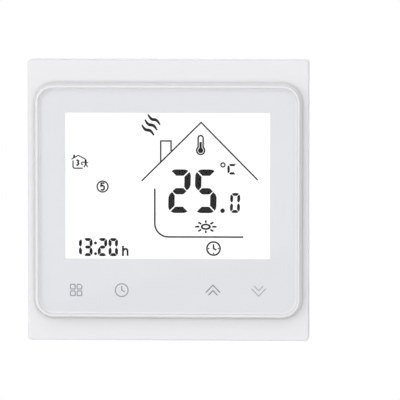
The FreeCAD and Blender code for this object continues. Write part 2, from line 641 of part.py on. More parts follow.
def make_control_board():
    """Control board, screwed to the housing's bosses from behind."""
    body = new_body("control_board")
    outline = sketch_at(body, "BoardOutline", BOARD_BACK)
    rounded_rectangle(outline, BOARD_WIDTH, BOARD_HEIGHT, "board_corner")
    for x, z in mirrored(BOSS_X, BOSS_Z):
        circle(outline, "screw_pass", x, z)
    pad(body, outline, "board_thick")
    screws = []
    for i, (x, z) in enumerate(mirrored(BOSS_X, BOSS_Z)):
        head = cylinder(f"BoardScrewHead_{i}", x, (f"{BOARD_BACK} - small_head_tall", BOARD_BACK), z,
                        "small_head")
        shank = cylinder(f"BoardScrewShank_{i}", x, (BOARD_BACK, f"{BOARD_FRONT} + small_reach"), z,
                         "small_shank")
        recess = cross_recess(f"BoardScrew_{i}", x, z, f"{BOARD_BACK} - small_head_tall",
                              "small_recess_deep", "small_recess_reach", "small_recess_width")
        screws.append(cut(f"BoardScrew_{i}", joined(f"BoardScrewSolid_{i}", [head, shank]), recess))
    piece("board_screws", group("BoardScrews", screws))


def make_touch_posts():
    """Conductive foam posts that carry the four touch keys from the board to the film."""
    posts = [cylinder(f"TouchPost_{i}", x, (BOARD_FRONT, FILM_BACK), KEY_Z, "post_key_radius")
             for i, x in enumerate(KEYS)]
    piece("touch_posts", group("TouchPosts", posts))


def chip(name, x, z, width, height, tall, leads, face):
    """A packaged circuit on a board's back face, with a row of leads on its two long sides."""
    foot_length, foot_thick = "0.7", "0.3"
    solids = [block(f"{name}_package", centred(x, width), (f"{face} - {tall}", face), centred(z, height))]
    pitch = f"(({width}) / {leads})"
    for i in range(leads):
        across = centred(f"{x} + ({i} - {(leads - 1) / 2}) * {pitch}", f"{pitch} * 0.4")
        low, top = f"(({z}) - ({height}) / 2)", f"(({z}) + ({height}) / 2)"
        spans = {"low": (f"{low} - {foot_length}", low), "top": (top, f"{top} + {foot_length}")}
        for side, span in spans.items():
            solids.append(block(f"{name}_{side}_{i}", across, (f"{face} - {foot_thick}", face), span))
    return group(name, solids)


def make_control_parts():
    """What the control board carries on its back: circuits, crystal, buzzer, cell and room sensor."""
    low_row = f"({BOARD_LOW} + 13.5)"
    tall, rim, hollow = "2.9", "0.8", "0.15"
    seat, well = (f"{BOARD_BACK} - {tall}", BOARD_BACK), (f"{BOARD_BACK} - {tall}", f"{BOARD_BACK} - {rim}")
    package_tall = "1.4"
    piece("microcontroller", chip("Microcontroller", "0", "-6", "10", "9", package_tall, 10, BOARD_BACK))
    piece("touch_controller", chip("TouchController", "0", f"{BOARD_LOW} + 9.5", "9.8", "3.9", package_tall,
                                   8, BOARD_BACK))
    can_span, can_radius, can_z = ("8.5", "14.5"), "1.0", "-3"
    piece("clock_crystal", lying_cylinder("CrystalCan", can_span, f"{BOARD_BACK} - {can_radius} - 0.05",
                                          can_z, can_radius))
    buzzer_x, buzzer_radius, sound_hole = "-20", "4.6", "0.8"
    shell = cylinder("BuzzerShell", buzzer_x, seat, low_row, buzzer_radius)
    hole = cylinder("BuzzerHole", buzzer_x, (seat[0], f"{BOARD_BACK} - 1"), low_row, sound_hole)
    piece("buzzer", cut("Buzzer", shell, [hole]))
    cell_x, cell_radius, cell_thick, holder_side = "20", "6.25", "2.0", "15"
    holder = block("HolderBody", centred(cell_x, holder_side), seat, centred(low_row, holder_side))
    pit = cylinder("HolderWell", cell_x, well, low_row, f"{cell_radius} + {hollow}")
    notch_wide, notch = "6", (f"{low_row} + 4", f"{low_row} + {holder_side} / 2 + 0.5")
    thumb = block("HolderNotch", centred(cell_x, notch_wide), well, notch)
    piece("battery_holder", cut("BatteryHolder", holder, [pit, thumb]))
    cell = (f"{BOARD_BACK} - {rim} - {cell_thick}", f"{BOARD_BACK} - {rim}")
    piece("backup_battery", cylinder("BackupCell", cell_x, cell, low_row, cell_radius))
    make_room_sensor()


def make_room_sensor():
    """Glass-bead temperature sensor on two bent wires, near the board's lower left corner."""
    middle, half, wire, reach, bead_radius = f"(8.5 - {BOARD_WIDTH} / 2)", "2", "0.4", "3", "0.95"
    z, out = f"({BOARD_LOW} + 4)", f"({BOARD_BACK} - 1.8)"
    bead = lying_cylinder("SensorBead", centred(middle, f"2 * {half}"), out, z, bead_radius)
    wires = []
    for i, sign in enumerate(("-", "+")):
        inner, outer = f"({middle} {sign} {half} * 0.9)", f"({middle} {sign} {reach})"
        span = (outer, inner) if sign == "-" else (inner, outer)
        leg = f"({outer} {sign} {wire} / 2)"
        wires.append(block(f"SensorArm_{i}", span, centred(out, wire), centred(z, wire)))
        wires.append(block(f"SensorLeg_{i}", centred(leg, wire), (f"{out} - {wire} / 2", BOARD_BACK),
                           centred(z, wire)))
    piece("room_sensor", joined("RoomSensor", [bead] + wires))


# ---------------------------------------------------------------- plug connection

def plug_places():
    """Formula pairs for the centre of each pin."""
    columns, rows = count("plug_columns"), count("plug_rows")
    across = [f"(({i} - (plug_columns - 1) / 2) * plug_pitch)" for i in range(columns)]
    upwards = [f"(plug_z + ({j} - (plug_rows - 1) / 2) * plug_pitch)" for j in range(rows)]
    return [(x, z) for x in across for z in upwards]


def make_plug():
    """Pin header on the control board and its socket on the power board."""
    area_x, area_z = centred("0", PLUG_WIDTH), centred("plug_z", PLUG_HEIGHT)
    block_back = f"({BOARD_BACK} - pin_block)"
    socket_front = f"({block_back} - socket_gap)"
    pin_end = f"({block_back} - pin_reach)"
    holes, pins, contacts, wells = [], [], [], []
    for i, (x, z) in enumerate(plug_places()):
        at_x, at_z = centred(x, "pin_side"), centred(z, "pin_side")
        pins.append(block(f"Pin_{i}", at_x, (pin_end, BOARD_BACK), at_z))
        holes.append(block(f"PinPassage_{i}", at_x, (block_back, BOARD_BACK), at_z))
        wells.append(block(f"SocketWell_{i}", centred(x, "pin_hole"), (f"{BOARD2_FRONT}", socket_front),
                           centred(z, "pin_hole")))
        contacts.append(block(f"SocketContact_{i}", centred(x, "pin_hole"),
                              (BOARD2_FRONT, f"{BOARD2_FRONT} + socket_floor"), centred(z, "pin_hole")))
    header = block("HeaderBlock", area_x, (block_back, BOARD_BACK), area_z)
    piece("pin_header_body", cut("PinHeaderBody", header, holes))
    piece("pin_header_pins", group("HeaderPins", pins))
    socket = block("SocketBlock", area_x, (BOARD2_FRONT, socket_front), area_z)
    piece("socket_body", cut("SocketBody", socket, wells))
    piece("socket_contacts", group("SocketContacts", contacts))


# ---------------------------------------------------------------- base plate, rear box, power board

def box_screw_places():
    return [(f"{a}{BOX_BOSS_X}", z) for z in (BOX_BOSS_TOP, BOX_BOSS_LOW) for a in ("-", "")]


def make_base_plate():
    """Flat base against the wall, with the mounting slots, the plug window and the finger slots."""
    body = new_body("base_plate")
    plate = sketch_at(body, "BasePlate", "0")
    rounded_rectangle(plate, BASE_SIDE, BASE_SIDE, "base_corner")
    pad(body, plate, "base_thick")
    rim = sketch_at(body, "BaseRim", "base_thick")
    rounded_rectangle(rim, BASE_SIDE, BASE_SIDE, "base_corner")
    rectangle(rim, f"{BASE_SIDE} - 2 * base_rim", f"{BASE_SIDE} - 2 * base_rim")
    pad(body, rim, "base_rim_tall")
    posts = sketch_at(body, "BoardPosts", BOARD2_FRONT)
    for x, z in box_screw_places():
        circle(posts, "post_radius", x, z)
    pad(body, posts, "power_board_out")
    holes = sketch_at(body, "BaseHoles", "base_thick")
    rectangle(holes, f"{PLUG_WIDTH} + 2 * window_gap", f"{PLUG_HEIGHT} + 2 * window_gap", "0", "plug_z")
    for x in ("-mount_x", "mount_x"):
        rounded_rectangle(holes, "2 * mount_slot_half", "mount_slot", "mount_slot_half * 0.9999", x)
    for x, z in mirrored("finger_x", FINGER_Z):
        rectangle(holes, "finger_width + 2 * finger_gap", "finger_thick + 2 * finger_gap", x, z)
    pocket(body, holes, "base_thick")
    bores = sketch_at(body, "BaseBores", "base_thick")
    for x, z in box_screw_places():
        circle(bores, "screw_pass", x, z)
    pocket(body, bores, "base_thick + power_board_out")


def make_rear_box():
    """Box for the power board, with an open bay at the lower back for the terminal block."""
    body = new_body("rear_box")
    outside = sketch_at(body, "BoxOutside", "-box_depth")
    rounded_rectangle(outside, BOX_WIDTH, "box_height", "box_corner")
    pad(body, outside, "box_depth")
    fillet(body, level_edges(body, "-box_depth"), "box_edge")
    inside = sketch_at(body, "BoardRecess", "0")
    rectangle(inside, f"2 * {ROOM_SIDE}", f"2 * {ROOM_TOP}")
    pocket(body, inside, f"-({BOARD2_BACK})")
    chamber = sketch_at(body, "Compartment", BOARD2_BACK)
    rectangle(chamber, f"2 * {ROOM_SIDE}", f"{ROOM_TOP} - {ROOM_LOW}", "0", f"({ROOM_TOP} + {ROOM_LOW}) / 2")
    pocket(body, chamber, f"{BOARD2_BACK} - {BOX_FLOOR}")
    bay = sketch_at(body, "TerminalBay", BOARD2_BACK)
    bay_low, bay_top = "(-box_height / 2 - 1)", f"({BLOCK_TOP} + bay_gap)"
    rectangle(bay, f"{BLOCK_WIDTH} + 2 * bay_gap", f"{bay_top} - {bay_low}", "0",
              f"({bay_top} + {bay_low}) / 2")
    pocket(body, bay, f"box_depth + {BOARD2_BACK} + 1")
    bosses = sketch_at(body, "BoxBosses", BOX_FLOOR)
    for x, z in box_screw_places():
        circle(bosses, "box_boss_radius", x, z)
    pad(body, bosses, f"{BOARD2_BACK} - {BOX_FLOOR}")
    pilots = sketch_at(body, "BoxPilots", BOARD2_BACK)
    for x, z in box_screw_places():
        circle(pilots, "pilot_radius", x, z)
    pocket(body, pilots, "box_reach + 1")


def make_box_screws():
    """Long self-tapping screws that pull base plate, power board and box together."""
    screws = []
    for i, (x, z) in enumerate(box_screw_places()):
        head_front = "(base_thick + small_head_tall)"
        head = cylinder(f"BoxScrewHead_{i}", x, ("base_thick", head_front), z, "small_head")
        shank = cylinder(f"BoxScrewShank_{i}", x, (f"{BOARD2_BACK} - box_reach", "base_thick"), z,
                         "small_shank")
        recess = cross_recess(f"BoxScrew_{i}", x, z, head_front, "-small_recess_deep",
                              "small_recess_reach", "small_recess_width")
        screws.append(cut(f"BoxScrew_{i}", joined(f"BoxScrewSolid_{i}", [head, shank]), recess))
    piece("box_screws", group("BoxScrews", screws))


def make_power_board():
    """Power board between the base plate's posts and the box's bosses."""
    body = new_body("power_board")
    outline = sketch_at(body, "PowerOutline", BOARD2_BACK)
    rectangle(outline, f"2 * ({ROOM_SIDE} - power_board_gap)", f"2 * ({ROOM_TOP} - power_board_gap)")
    for x, z in box_screw_places():
        circle(outline, "screw_pass", x, z)
    for x in pole_places():
        circle(outline, "bar_thick * 0.8", x, LEG_Z)
    pad(body, outline, "board_thick")


# ---------------------------------------------------------------- power parts

def make_relay():
    """Power relay: base, coil on its core and yoke, two fixed contacts and the hinged armature."""
    wide, deep, tall, wall, base_thick, slack = "19", "15.2", "15.5", "0.8", "1.7", "0.2"
    left, middle_z = f"(4.9 - {ROOM_SIDE})", f"({ROOM_LOW} + 9.05)"
    middle_x = f"({left} + {wide} / 2)"
    core_x, hinge_x = f"({left} + 6.9)", f"({left} + 12.9)"
    top, floor = f"({BOARD2_BACK} - {tall})", f"({BOARD2_BACK} - {base_thick})"
    shell = block("RelayShell", centred(middle_x, wide), (top, BOARD2_BACK), centred(middle_z, deep))
    hollow = block("RelayHollow", centred(middle_x, f"{wide} - 2 * {wall}"), (f"{top} + {wall}", BOARD2_BACK),
                   centred(middle_z, f"{deep} - 2 * {wall}"))
    piece("relay_cover", cut("RelayCover", shell, [hollow]))
    piece("relay_base", block("RelayBase", centred(middle_x, f"{wide} - 2 * {wall} - {slack}"),
                              (floor, BOARD2_BACK), centred(middle_z, f"{deep} - 2 * {wall} - {slack}")))
    iron_wide, iron_thick, leg_tall, core_tall, core_radius = "8", "1", "10.7", "10.3", "1.8"
    iron_z = centred(middle_z, iron_wide)
    foot = block("YokeFoot", (f"{core_x} - {iron_wide} / 2", hinge_x), (f"{floor} - {iron_thick}", floor),
                 iron_z)
    leg = block("YokeLeg", (f"{hinge_x} - {iron_thick}", hinge_x), (f"{floor} - {leg_tall}", floor), iron_z)
    core = cylinder("Core", core_x, (f"{floor} - {core_tall}", floor), middle_z, core_radius)
    piece("relay_core_yoke", joined("RelayCoreYoke", [foot, leg, core]))
    coil_radius, bore_radius = "3.6", f"({core_radius} + 0.1)"
    wound = (f"{floor} - {core_tall} + 0.4", f"{floor} - {iron_thick} - {slack}")
    winding = cylinder("Winding", core_x, wound, middle_z, coil_radius)
    bore = cylinder("WindingBore", core_x, wound, middle_z, bore_radius)
    piece("relay_coil", cut("RelayCoil", winding, [bore]))
    plate_wide, half_thick, plate_long, tip_radius = "7", "0.4", "11", "0.5"
    hinge_out = f"({floor} - {leg_tall} - 0.55)"
    plate_face = f"({hinge_out} + {half_thick})"
    plate = block("ArmaturePlate", (f"{hinge_x} - {plate_long}", f"{hinge_x} - {half_thick}"),
                  (f"{hinge_out} - {half_thick}", plate_face), centred(middle_z, plate_wide))
    pivot = upright_cylinder("ArmaturePivot", f"{hinge_x} - {half_thick}", hinge_out,
                             centred(middle_z, plate_wide), half_thick)
    tip = cylinder("ArmatureContact", f"{hinge_x} - 10.4", (plate_face, f"{plate_face} + 0.75"), middle_z,
                   tip_radius)
    piece("relay_armature", joined("RelayArmature", [plate, pivot, tip]))
    strip, strip_wide, flag_end = "0.3", "3", f"({hinge_x} - 9.9)"
    pairs = []
    for name, post_left, level in (("Open", "11.3", "9.4"), ("Closed", "11.8", "12.0")):
        post_x = f"({hinge_x} - {post_left})"
        post = block(f"{name}Post", (post_x, f"{post_x} + {strip}"), (f"{floor} - {level}", floor),
                     centred(middle_z, strip_wide))
        flag = block(f"{name}Flag", (post_x, flag_end),
                     (f"{floor} - {level}", f"{floor} - {level} + {strip}"), centred(middle_z, strip_wide))
        pairs.append(joined(f"{name}Contact", [post, flag]))
    piece("relay_fixed_contacts", group("FixedContacts", pairs))


def make_transformer():
    """Small switching transformer: ferrite core with two windows and the winding on its middle leg."""
    side, leg, yoke, thick, tall = "13", "3", "2", "6", "12"
    slack, winding_over = "0.2", "3.1"
    middle, z = f"({ROOM_SIDE} - 15.9)", f"({ROOM_LOW} + 8.45)"
    solid = block("CoreSolid", centred(middle, side), (f"{BOARD2_BACK} - {tall}", BOARD2_BACK),
                  centred(z, thick))
    inner = (f"{BOARD2_BACK} - {tall} + {yoke}", f"{BOARD2_BACK} - {yoke}")
    gap = f"(({side} - {leg}) / 2 - {yoke})"
    windows = [block(f"CoreWindow_{i}", centred(f"{middle} {sign} ({leg} + {gap}) / 2", gap), inner,
                     centred(z, f"{thick} + 1")) for i, sign in enumerate("-+")]
    piece("transformer_core", cut("TransformerCore", solid, windows))
    coil_levels = (f"{inner[0]} + {slack}", f"{inner[1]} - {slack}")
    coil = block("CoilSolid", centred(middle, f"{leg} + 2 * {gap} - 2 * {slack}"), coil_levels,
                 centred(z, f"{thick} + 2 * {winding_over}"))
    bore = block("CoilBore", centred(middle, f"{leg} + {slack}"), coil_levels,
                 centred(z, f"{thick} + {slack}"))
    piece("transformer_winding", cut("TransformerWinding", coil, [bore]))


def make_power_parts():
    """Capacitors, surge disc, fuse, rectifier and switching circuit on the back of the power board."""
    can_radius, can_tall = "4", "12"
    piece("mains_capacitor", cylinder("MainsCapacitor", f"{ROOM_SIDE} - 10.4",
                                      (f"{BOARD2_BACK} - {can_tall}", BOARD2_BACK), f"{ROOM_TOP} - 8.8",
                                      can_radius))
    film_wide, film_thick, film_tall = "13", "5.5", "11"
    piece("x_capacitor", block("XCapacitor", centred(f"11.9 - {ROOM_SIDE}", film_wide),
                               (f"{BOARD2_BACK} - {film_tall}", BOARD2_BACK),
                               centred(f"{ROOM_TOP} - 12.45", film_thick)))
    disc_x, disc_z = f"(10.9 - {ROOM_SIDE})", f"({ROOM_TOP} - 7.6)"
    disc_thick, disc_radius, leg_apart, leg_side = "3.6", "4.5", "2.5", "0.6"
    disc = upright_cylinder("SurgeDisc", disc_x, f"{BOARD2_BACK} - {disc_radius} - 1",
                            (disc_z, f"{disc_z} + {disc_thick}"), disc_radius)
    legs = [block(f"SurgeLeg_{i}", centred(f"{disc_x} {sign} {leg_apart}", leg_side),
                  (f"{BOARD2_BACK} - 4", BOARD2_BACK), centred(f"{disc_z} + {disc_thick} / 2", leg_side))
            for i, sign in enumerate("-+")]
    piece("varistor", joined("Varistor", [disc] + legs))
    fuse_radius, fuse_tall = "4", "8"
    piece("fuse", cylinder("Fuse", f"{ROOM_SIDE} - 4.6", (f"{BOARD2_BACK} - {fuse_tall}", BOARD2_BACK),
                           f"{ROOM_LOW} + 11.45", fuse_radius))
    piece("power_ic", chip("PowerCircuit", f"{ROOM_SIDE} - 21.8", f"{ROOM_TOP} - 13", "4.9", "3.9", "1.5", 4,
                           BOARD2_BACK))
    piece("rectifier", chip("Rectifier", f"{ROOM_SIDE} - 3.2", f"{ROOM_TOP} - 11.8", "4.2", "3.9", "2.4", 2,
                            BOARD2_BACK))


# ---------------------------------------------------------------- terminals

def make_terminal_block():
    """Moulded block with a chamber, a wire mouth and a screw mouth for each terminal."""
    body = new_body("terminal_housing")
    outside = sketch_at(body, "BlockOutside", BLOCK_END)
    rectangle(outside, BLOCK_WIDTH, "block_height", "0", f"({BLOCK_TOP} + {BLOCK_LOW}) / 2")
    pad(body, outside, "block_tall")
    chambers = sketch_at(body, "Chambers", CHAMBER_FRONT)
    screw_mouths = sketch_at(body, "ScrewMouths", CHAMBER_BACK)
    legs = sketch_at(body, "LegChannels", BOARD2_BACK)
    mouths = sketch_at(body, "WireMouths", CHAMBER_LOW, "XY_Plane")
    slots = sketch_at(body, "BarSlots", f"{LEG_Z} + bar_thick / 2 + cage_gap", "XY_Plane")
    wire_middle = "(cage_start + cage_floor + wire_space / 2)"
    bar_middle = f"(-({BAR_FRONT} + {BAR_BACK}) / 2)"
    for x in pole_places():
        rectangle(chambers, "cage_width + 2 * cage_gap", f"{CHAMBER_TOP} - {CHAMBER_LOW}", x, POLE_Z)
        circle(screw_mouths, "clamp_mouth", x, POLE_Z)
        rectangle(legs, "bar_width + 2 * bar_gap", "bar_thick + 2 * cage_gap", x, LEG_Z)
        rectangle(mouths, "wire_mouth", "wire_space", x, wire_middle)
        rectangle(slots, "bar_width + 2 * bar_gap", "bar_thick + 2 * bar_gap", x, bar_middle)
    pocket(body, chambers, f"{CHAMBER_FRONT} - {CHAMBER_BACK}")
    pocket(body, screw_mouths, f"{CHAMBER_BACK} - {BLOCK_END}")
    pocket(body, legs, f"{BOARD2_BACK} - {BAR_BACK} + bar_gap")
    pocket(body, mouths, "mouth_wall")
    pocket(body, slots, f"{LEG_Z} + bar_thick / 2 + cage_gap - {CHAMBER_TOP}")


def make_terminal_bars():
    """Tinned contact bars: flat in the cage, then down through the power board."""
    bars = []
    for i, x in enumerate(pole_places()):
        across, leg_z = centred(x, "bar_width"), centred(LEG_Z, "bar_thick")
        flat = block(f"BarFlat_{i}", across, (BAR_BACK, BAR_FRONT),
                     (f"{CHAMBER_LOW} + cage_gap", f"{LEG_Z} + bar_thick / 2"))
        leg = block(f"BarLeg_{i}", across, (BAR_BACK, BOARD2_BACK), leg_z)
        pin = block(f"BarPin_{i}", centred(x, "bar_thick"), (BOARD2_BACK, f"{BOARD2_FRONT} + 1"), leg_z)
        bars.append(joined(f"Bar_{i}", [flat, leg, pin]))
    piece("terminal_bars", group("TerminalBars", bars))


def make_cage(i, x):
    """Rising cage: a square tube across the wire whose threaded roof the screw pulls back."""
    floor, roof = "(-cage_start)", "(-cage_start - cage_tall)"
    along = centred(POLE_Z, "cage_length")
    tube = block(f"CageSolid_{i}", centred(x, "cage_width"), (roof, floor), along)
    inside = block(f"CageInside_{i}", centred(x, "cage_width - 2 * cage_side"),
                   (f"{roof} + cage_roof", f"{floor} - cage_floor"), along)
    thread = cylinder(f"CageThread_{i}", x, (roof, f"{roof} + cage_roof"), POLE_Z, "clamp_hole")
    piece(f"terminal_cage_{i + 1}", cut(f"Cage_{i}", tube, [inside, thread]))


def make_clamp_screw(i, x):
    """Clamp screw of one terminal: its head stays in the block's mouth, its tip on the contact bar."""
    head_front = f"({CHAMBER_BACK} - seat_gap)"
    head_back = f"({head_front} - clamp_head_tall)"
    head = cylinder(f"ClampHead_{i}", x, (head_back, head_front), POLE_Z, "clamp_head")
    shank = cylinder(f"ClampShank_{i}", x, (head_front, f"{BAR_BACK} - bar_gap"), POLE_Z, "clamp_radius")
    recess = cross_recess(f"Clamp_{i}", x, POLE_Z, head_back, "clamp_recess_deep", "clamp_recess_reach",
                          "clamp_recess_width")
    piece(f"terminal_screw_{i + 1}", cut(f"ClampScrew_{i}", joined(f"ClampSolid_{i}", [head, shank]), recess))


# ---------------------------------------------------------------- mounting screws

def make_mounting_screw(side, x):
    """Pan-head machine screw through a base plate slot into the wall box."""
    tag = side.capitalize()
    body = new_body(f"mounting_screw_{side}")
    end = "(base_thick - mount_length)"
    thread = sketch_at(body, f"{tag}Thread", end)
    circle(thread, "mount_thread", x)
    pad(body, thread, f"-{end}")
    neck = sketch_at(body, f"{tag}Neck", "0")
    circle(neck, "mount_neck", x)
    pad(body, neck, "base_thick")
    head = sketch_at(body, f"{tag}Head", "base_thick")
    circle(head, "mount_head", x)
    pad(body, head, "mount_head_tall")
    fillet(body, level_edges(body, HEAD_FRONT), "mount_head_tall / 2")
    recess = sketch_at(body, f"{tag}Recess", HEAD_FRONT)
    arm, width = "(mount_head * 0.55)", "(mount_head * 0.16)"
    cross(recess, arm, width, x)
    pocket(body, recess, "mount_head_tall * 0.65")
    base, edges = body.Tip, level_edges(body, end)
    point = body.newObject("PartDesign::Chamfer", f"{tag}Point")
    point.Base = (base, edges)
    point.setExpression("Size", bound("mount_point"))
    doc.recompute()


def cross(drawing, arm, width, x):
    """A plus-shaped outline about x, 0 with arms of the given length and half width."""
    a, w, cx = number(arm), number(width), number(x)
    steps = [(w, w), (w, a), (-w, a), (-w, w), (-a, w), (-a, -w), (-w, -w), (-w, -a), (w, -a), (w, -w),
             (a, -w), (a, w)]
    n = straight_loop(drawing, [(cx + u, v) for u, v in steps])
    sizes = {w: width, a: arm}
    for i, (u, v) in enumerate(steps):
        drawing.addConstraint(Sketcher.Constraint("Coincident", n + i, 2, n + (i + 1) % len(steps), 1))
        along_x = f"({x}) + {math.copysign(1, u):.0f} * {sizes[abs(u)]}"
        along_z = f"{math.copysign(1, v):.0f} * {sizes[abs(v)]}"
        dimension(drawing, Sketcher.Constraint("DistanceX", -1, 1, n + i, 1, cx + u), along_x)
        dimension(drawing, Sketcher.Constraint("DistanceY", -1, 1, n + i, 1, v), along_z)


# ---------------------------------------------------------------- build, check, write

def make_all():
    make_lens()
    make_film()
    make_tape()
    make_housing()
    make_frame()
    make_display()
    make_backlight()
    make_control_board()
    make_touch_posts()
    make_control_parts()
    make_plug()
    make_base_plate()
    make_rear_box()
    make_box_screws()
    make_power_board()
    make_relay()
    make_transformer()
    make_power_parts()
    make_terminal_block()
    make_terminal_bars()
    for i, x in enumerate(pole_places()):
        make_cage(i, x)
        make_clamp_screw(i, x)
    make_mounting_screw("left", "-mount_x")
    make_mounting_screw("right", "mount_x")


def check_all():
    """Stops if any object failed or any piece has no sound shape."""
    doc.recompute()
    for thing in doc.Objects:
        if {"Invalid", "Error"} & set(thing.State):
            raise RuntimeError(f"{thing.Name} failed: {thing.State}")
    for name, thing in pieces.items():
        if thing.Shape.isNull() or not thing.Shape.isValid() or not thing.Shape.Solids:
            raise RuntimeError(f"{name} has no sound shape")


def write_all():
    os.makedirs("parts", exist_ok=True)
    for name, thing in pieces.items():
        thing.Shape.exportStep(f"parts/{name}.step")
    print(len(pieces), "pieces written")


fill_sheet()
make_all()
check_all()
write_all()
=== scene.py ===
import math

import bmesh
import bpy
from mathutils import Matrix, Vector


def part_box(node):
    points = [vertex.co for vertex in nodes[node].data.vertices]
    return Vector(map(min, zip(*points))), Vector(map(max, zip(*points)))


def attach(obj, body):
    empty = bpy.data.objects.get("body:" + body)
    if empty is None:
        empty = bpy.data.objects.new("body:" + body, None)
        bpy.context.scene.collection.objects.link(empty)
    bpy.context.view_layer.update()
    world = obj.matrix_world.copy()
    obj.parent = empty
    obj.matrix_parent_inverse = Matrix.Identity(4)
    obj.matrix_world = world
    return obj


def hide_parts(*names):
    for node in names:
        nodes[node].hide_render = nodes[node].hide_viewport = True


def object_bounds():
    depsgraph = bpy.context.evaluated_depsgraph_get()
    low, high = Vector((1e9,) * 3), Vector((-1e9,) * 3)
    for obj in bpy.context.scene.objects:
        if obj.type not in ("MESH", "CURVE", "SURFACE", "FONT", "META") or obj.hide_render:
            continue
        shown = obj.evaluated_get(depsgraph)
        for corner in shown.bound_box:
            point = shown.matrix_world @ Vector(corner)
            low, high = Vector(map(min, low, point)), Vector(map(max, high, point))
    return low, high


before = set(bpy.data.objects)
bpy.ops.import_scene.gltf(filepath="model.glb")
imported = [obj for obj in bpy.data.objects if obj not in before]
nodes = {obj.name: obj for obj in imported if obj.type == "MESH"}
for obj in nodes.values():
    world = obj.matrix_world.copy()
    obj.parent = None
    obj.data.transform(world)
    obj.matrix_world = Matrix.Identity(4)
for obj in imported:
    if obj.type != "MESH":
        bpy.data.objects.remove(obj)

MM = 0.001
cad_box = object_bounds()

# ---------------------------------------------------------------- view, light and floor
# The room unit hangs free at the height where a wall would hold it, seen through a long lens from a
# little above and to the right.  The floor lies well below and the studio round it is white.

look_at = Vector((10.33, -12.0, 0.38)) * MM
azimuth, elevation, distance = math.radians(2.76), math.radians(4.19), 1.604
outwards = Vector((math.sin(azimuth) * math.cos(elevation), -math.cos(azimuth) * math.cos(elevation),
                   math.sin(elevation)))
camera = bpy.data.objects.new("camera", bpy.data.cameras.new("camera"))
camera.data.sensor_width = 36.0
camera.data.lens = 452.3
camera.data.clip_start = 0.05
camera.data.clip_end = 30.0
camera.location = look_at + outwards * distance
camera.rotation_euler = outwards.to_track_quat("Z", "Y").to_euler()
bpy.context.scene.collection.objects.link(camera)
bpy.context.scene.camera = camera
bpy.context.scene.view_settings.view_transform = "Standard"


def colour(text):
    """Linear RGBA from an sRGB hex value."""
    parts = [int(text[i:i + 2], 16) / 255 for i in (0, 2, 4)]
    return [c / 12.92 if c <= 0.04045 else ((c + 0.055) / 1.055) ** 2.4 for c in parts] + [1.0]


def add(tree, kind, inputs=None, **settings):
    """A node with its settings; an input is a plain value, a socket or a node's first output."""
    node = tree.nodes.new(kind)
    for name, value in settings.items():
        setattr(node, name, value)
    for key, value in (inputs or {}).items():
        socket = node.inputs[key]
        if isinstance(value, bpy.types.Node):
            value = next(s for s in value.outputs if s.enabled)
        if isinstance(value, bpy.types.NodeSocket):
            tree.links.new(value, socket)
        else:
            socket.default_value = value
    return node


world = bpy.data.worlds.new("studio")
bpy.context.scene.world = world
world.use_nodes = True
tree = world.node_tree
tree.nodes.clear()
# the camera sees plain white, and the object is lit by a soft room, brighter above than below
LIGHT_BELOW, LIGHT_ABOVE = 0.42, 0.62
white = colour("FFFFFF")
seen = add(tree, "ShaderNodeBackground", {"Color": white, "Strength": 1.0})
direction = add(tree, "ShaderNodeSeparateXYZ", {0: add(tree, "ShaderNodeTexCoord").outputs[0]})
above = add(tree, "ShaderNodeMapRange",
            {0: direction.outputs["Z"], 1: -0.6, 2: 0.7, 3: LIGHT_BELOW, 4: LIGHT_ABOVE})
soft = add(tree, "ShaderNodeBackground", {"Color": white, "Strength": above})
path = add(tree, "ShaderNodeLightPath")
both = add(tree, "ShaderNodeMixShader", {0: path.outputs["Is Camera Ray"], 1: soft, 2: seen})
add(tree, "ShaderNodeOutputWorld", {"Surface": both})

for name, place, side, power in (("key", (-0.5, -2.1, 0.8), 2.6, 23.0),
                                 ("left fill", (-1.4, -1.3, 0.0), 1.0, 4.0),
                                 ("right fill", (1.3, -1.4, 0.1), 1.0, 2.6),
                                 ("back", (0.3, 1.6, 0.4), 1.2, 4.0)):
    light = bpy.data.objects.new(name, bpy.data.lights.new(name, "AREA"))
    light.data.size = side
    light.data.energy = power
    light.location = place
    light.rotation_euler = Vector(place).to_track_quat("Z", "Y").to_euler()
    bpy.context.scene.collection.objects.link(light)


def start_material(name, mottle=None, **constants):
    """A material on the object's own millimetres, perhaps mottled between two colours at a real size.

    The constants go to the shader's own sockets.
    """
    material = bpy.data.materials.new(name)
    material.use_nodes = True
    tree = material.node_tree
    tree.nodes.clear()
    own = {key.replace("_", " "): value for key, value in constants.items()}
    shader = add(tree, "ShaderNodeBsdfPrincipled", own)
    add(tree, "ShaderNodeOutputMaterial", {"Surface": shader})
    place = add(tree, "ShaderNodeTexCoord").outputs["Object"]
    scaled = add(tree, "ShaderNodeMapping", {"Vector": place, "Scale": (1 / MM, 1 / MM, 1 / MM)})
    if mottle:
        tree.links.new(spread(tree, scaled, *mottle), shader.inputs["Base Color"])
    return material, tree, shader, scaled


def spread(tree, where, size_mm, low, high, detail=2.0):
    """Noise with features of a real size, mapped between two numbers or two hex colours."""
    noise = add(tree, "ShaderNodeTexNoise", {"Vector": where, "Scale": 1 / size_mm, "Detail": detail})
    if isinstance(low, str):
        return add(tree, "ShaderNodeMix", {0: noise.outputs[0], 6: colour(low), 7: colour(high)},
                   data_type="RGBA").outputs[2]
    # the noise hardly ever leaves the range from 0.2 to 0.8
    return add(tree, "ShaderNodeMapRange", {0: noise.outputs[0], 1: 0.2, 2: 0.8, 3: low, 4: high}).outputs[0]


def relief(tree, shader, height, depth_mm):
    """Raises the surface by a height pattern of that real depth."""
    bump = add(tree, "ShaderNodeBump", {"Height": height, "Distance": depth_mm * MM, "Strength": 1.0})
    tree.links.new(bump.outputs[0], shader.inputs["Normal"])


def grain(tree, shader, where, size_mm, depth_mm, detail=2.0):
    """Raises the surface by grains of a real size and depth."""
    relief(tree, shader, spread(tree, where, size_mm, 0.0, 1.0, detail), depth_mm)


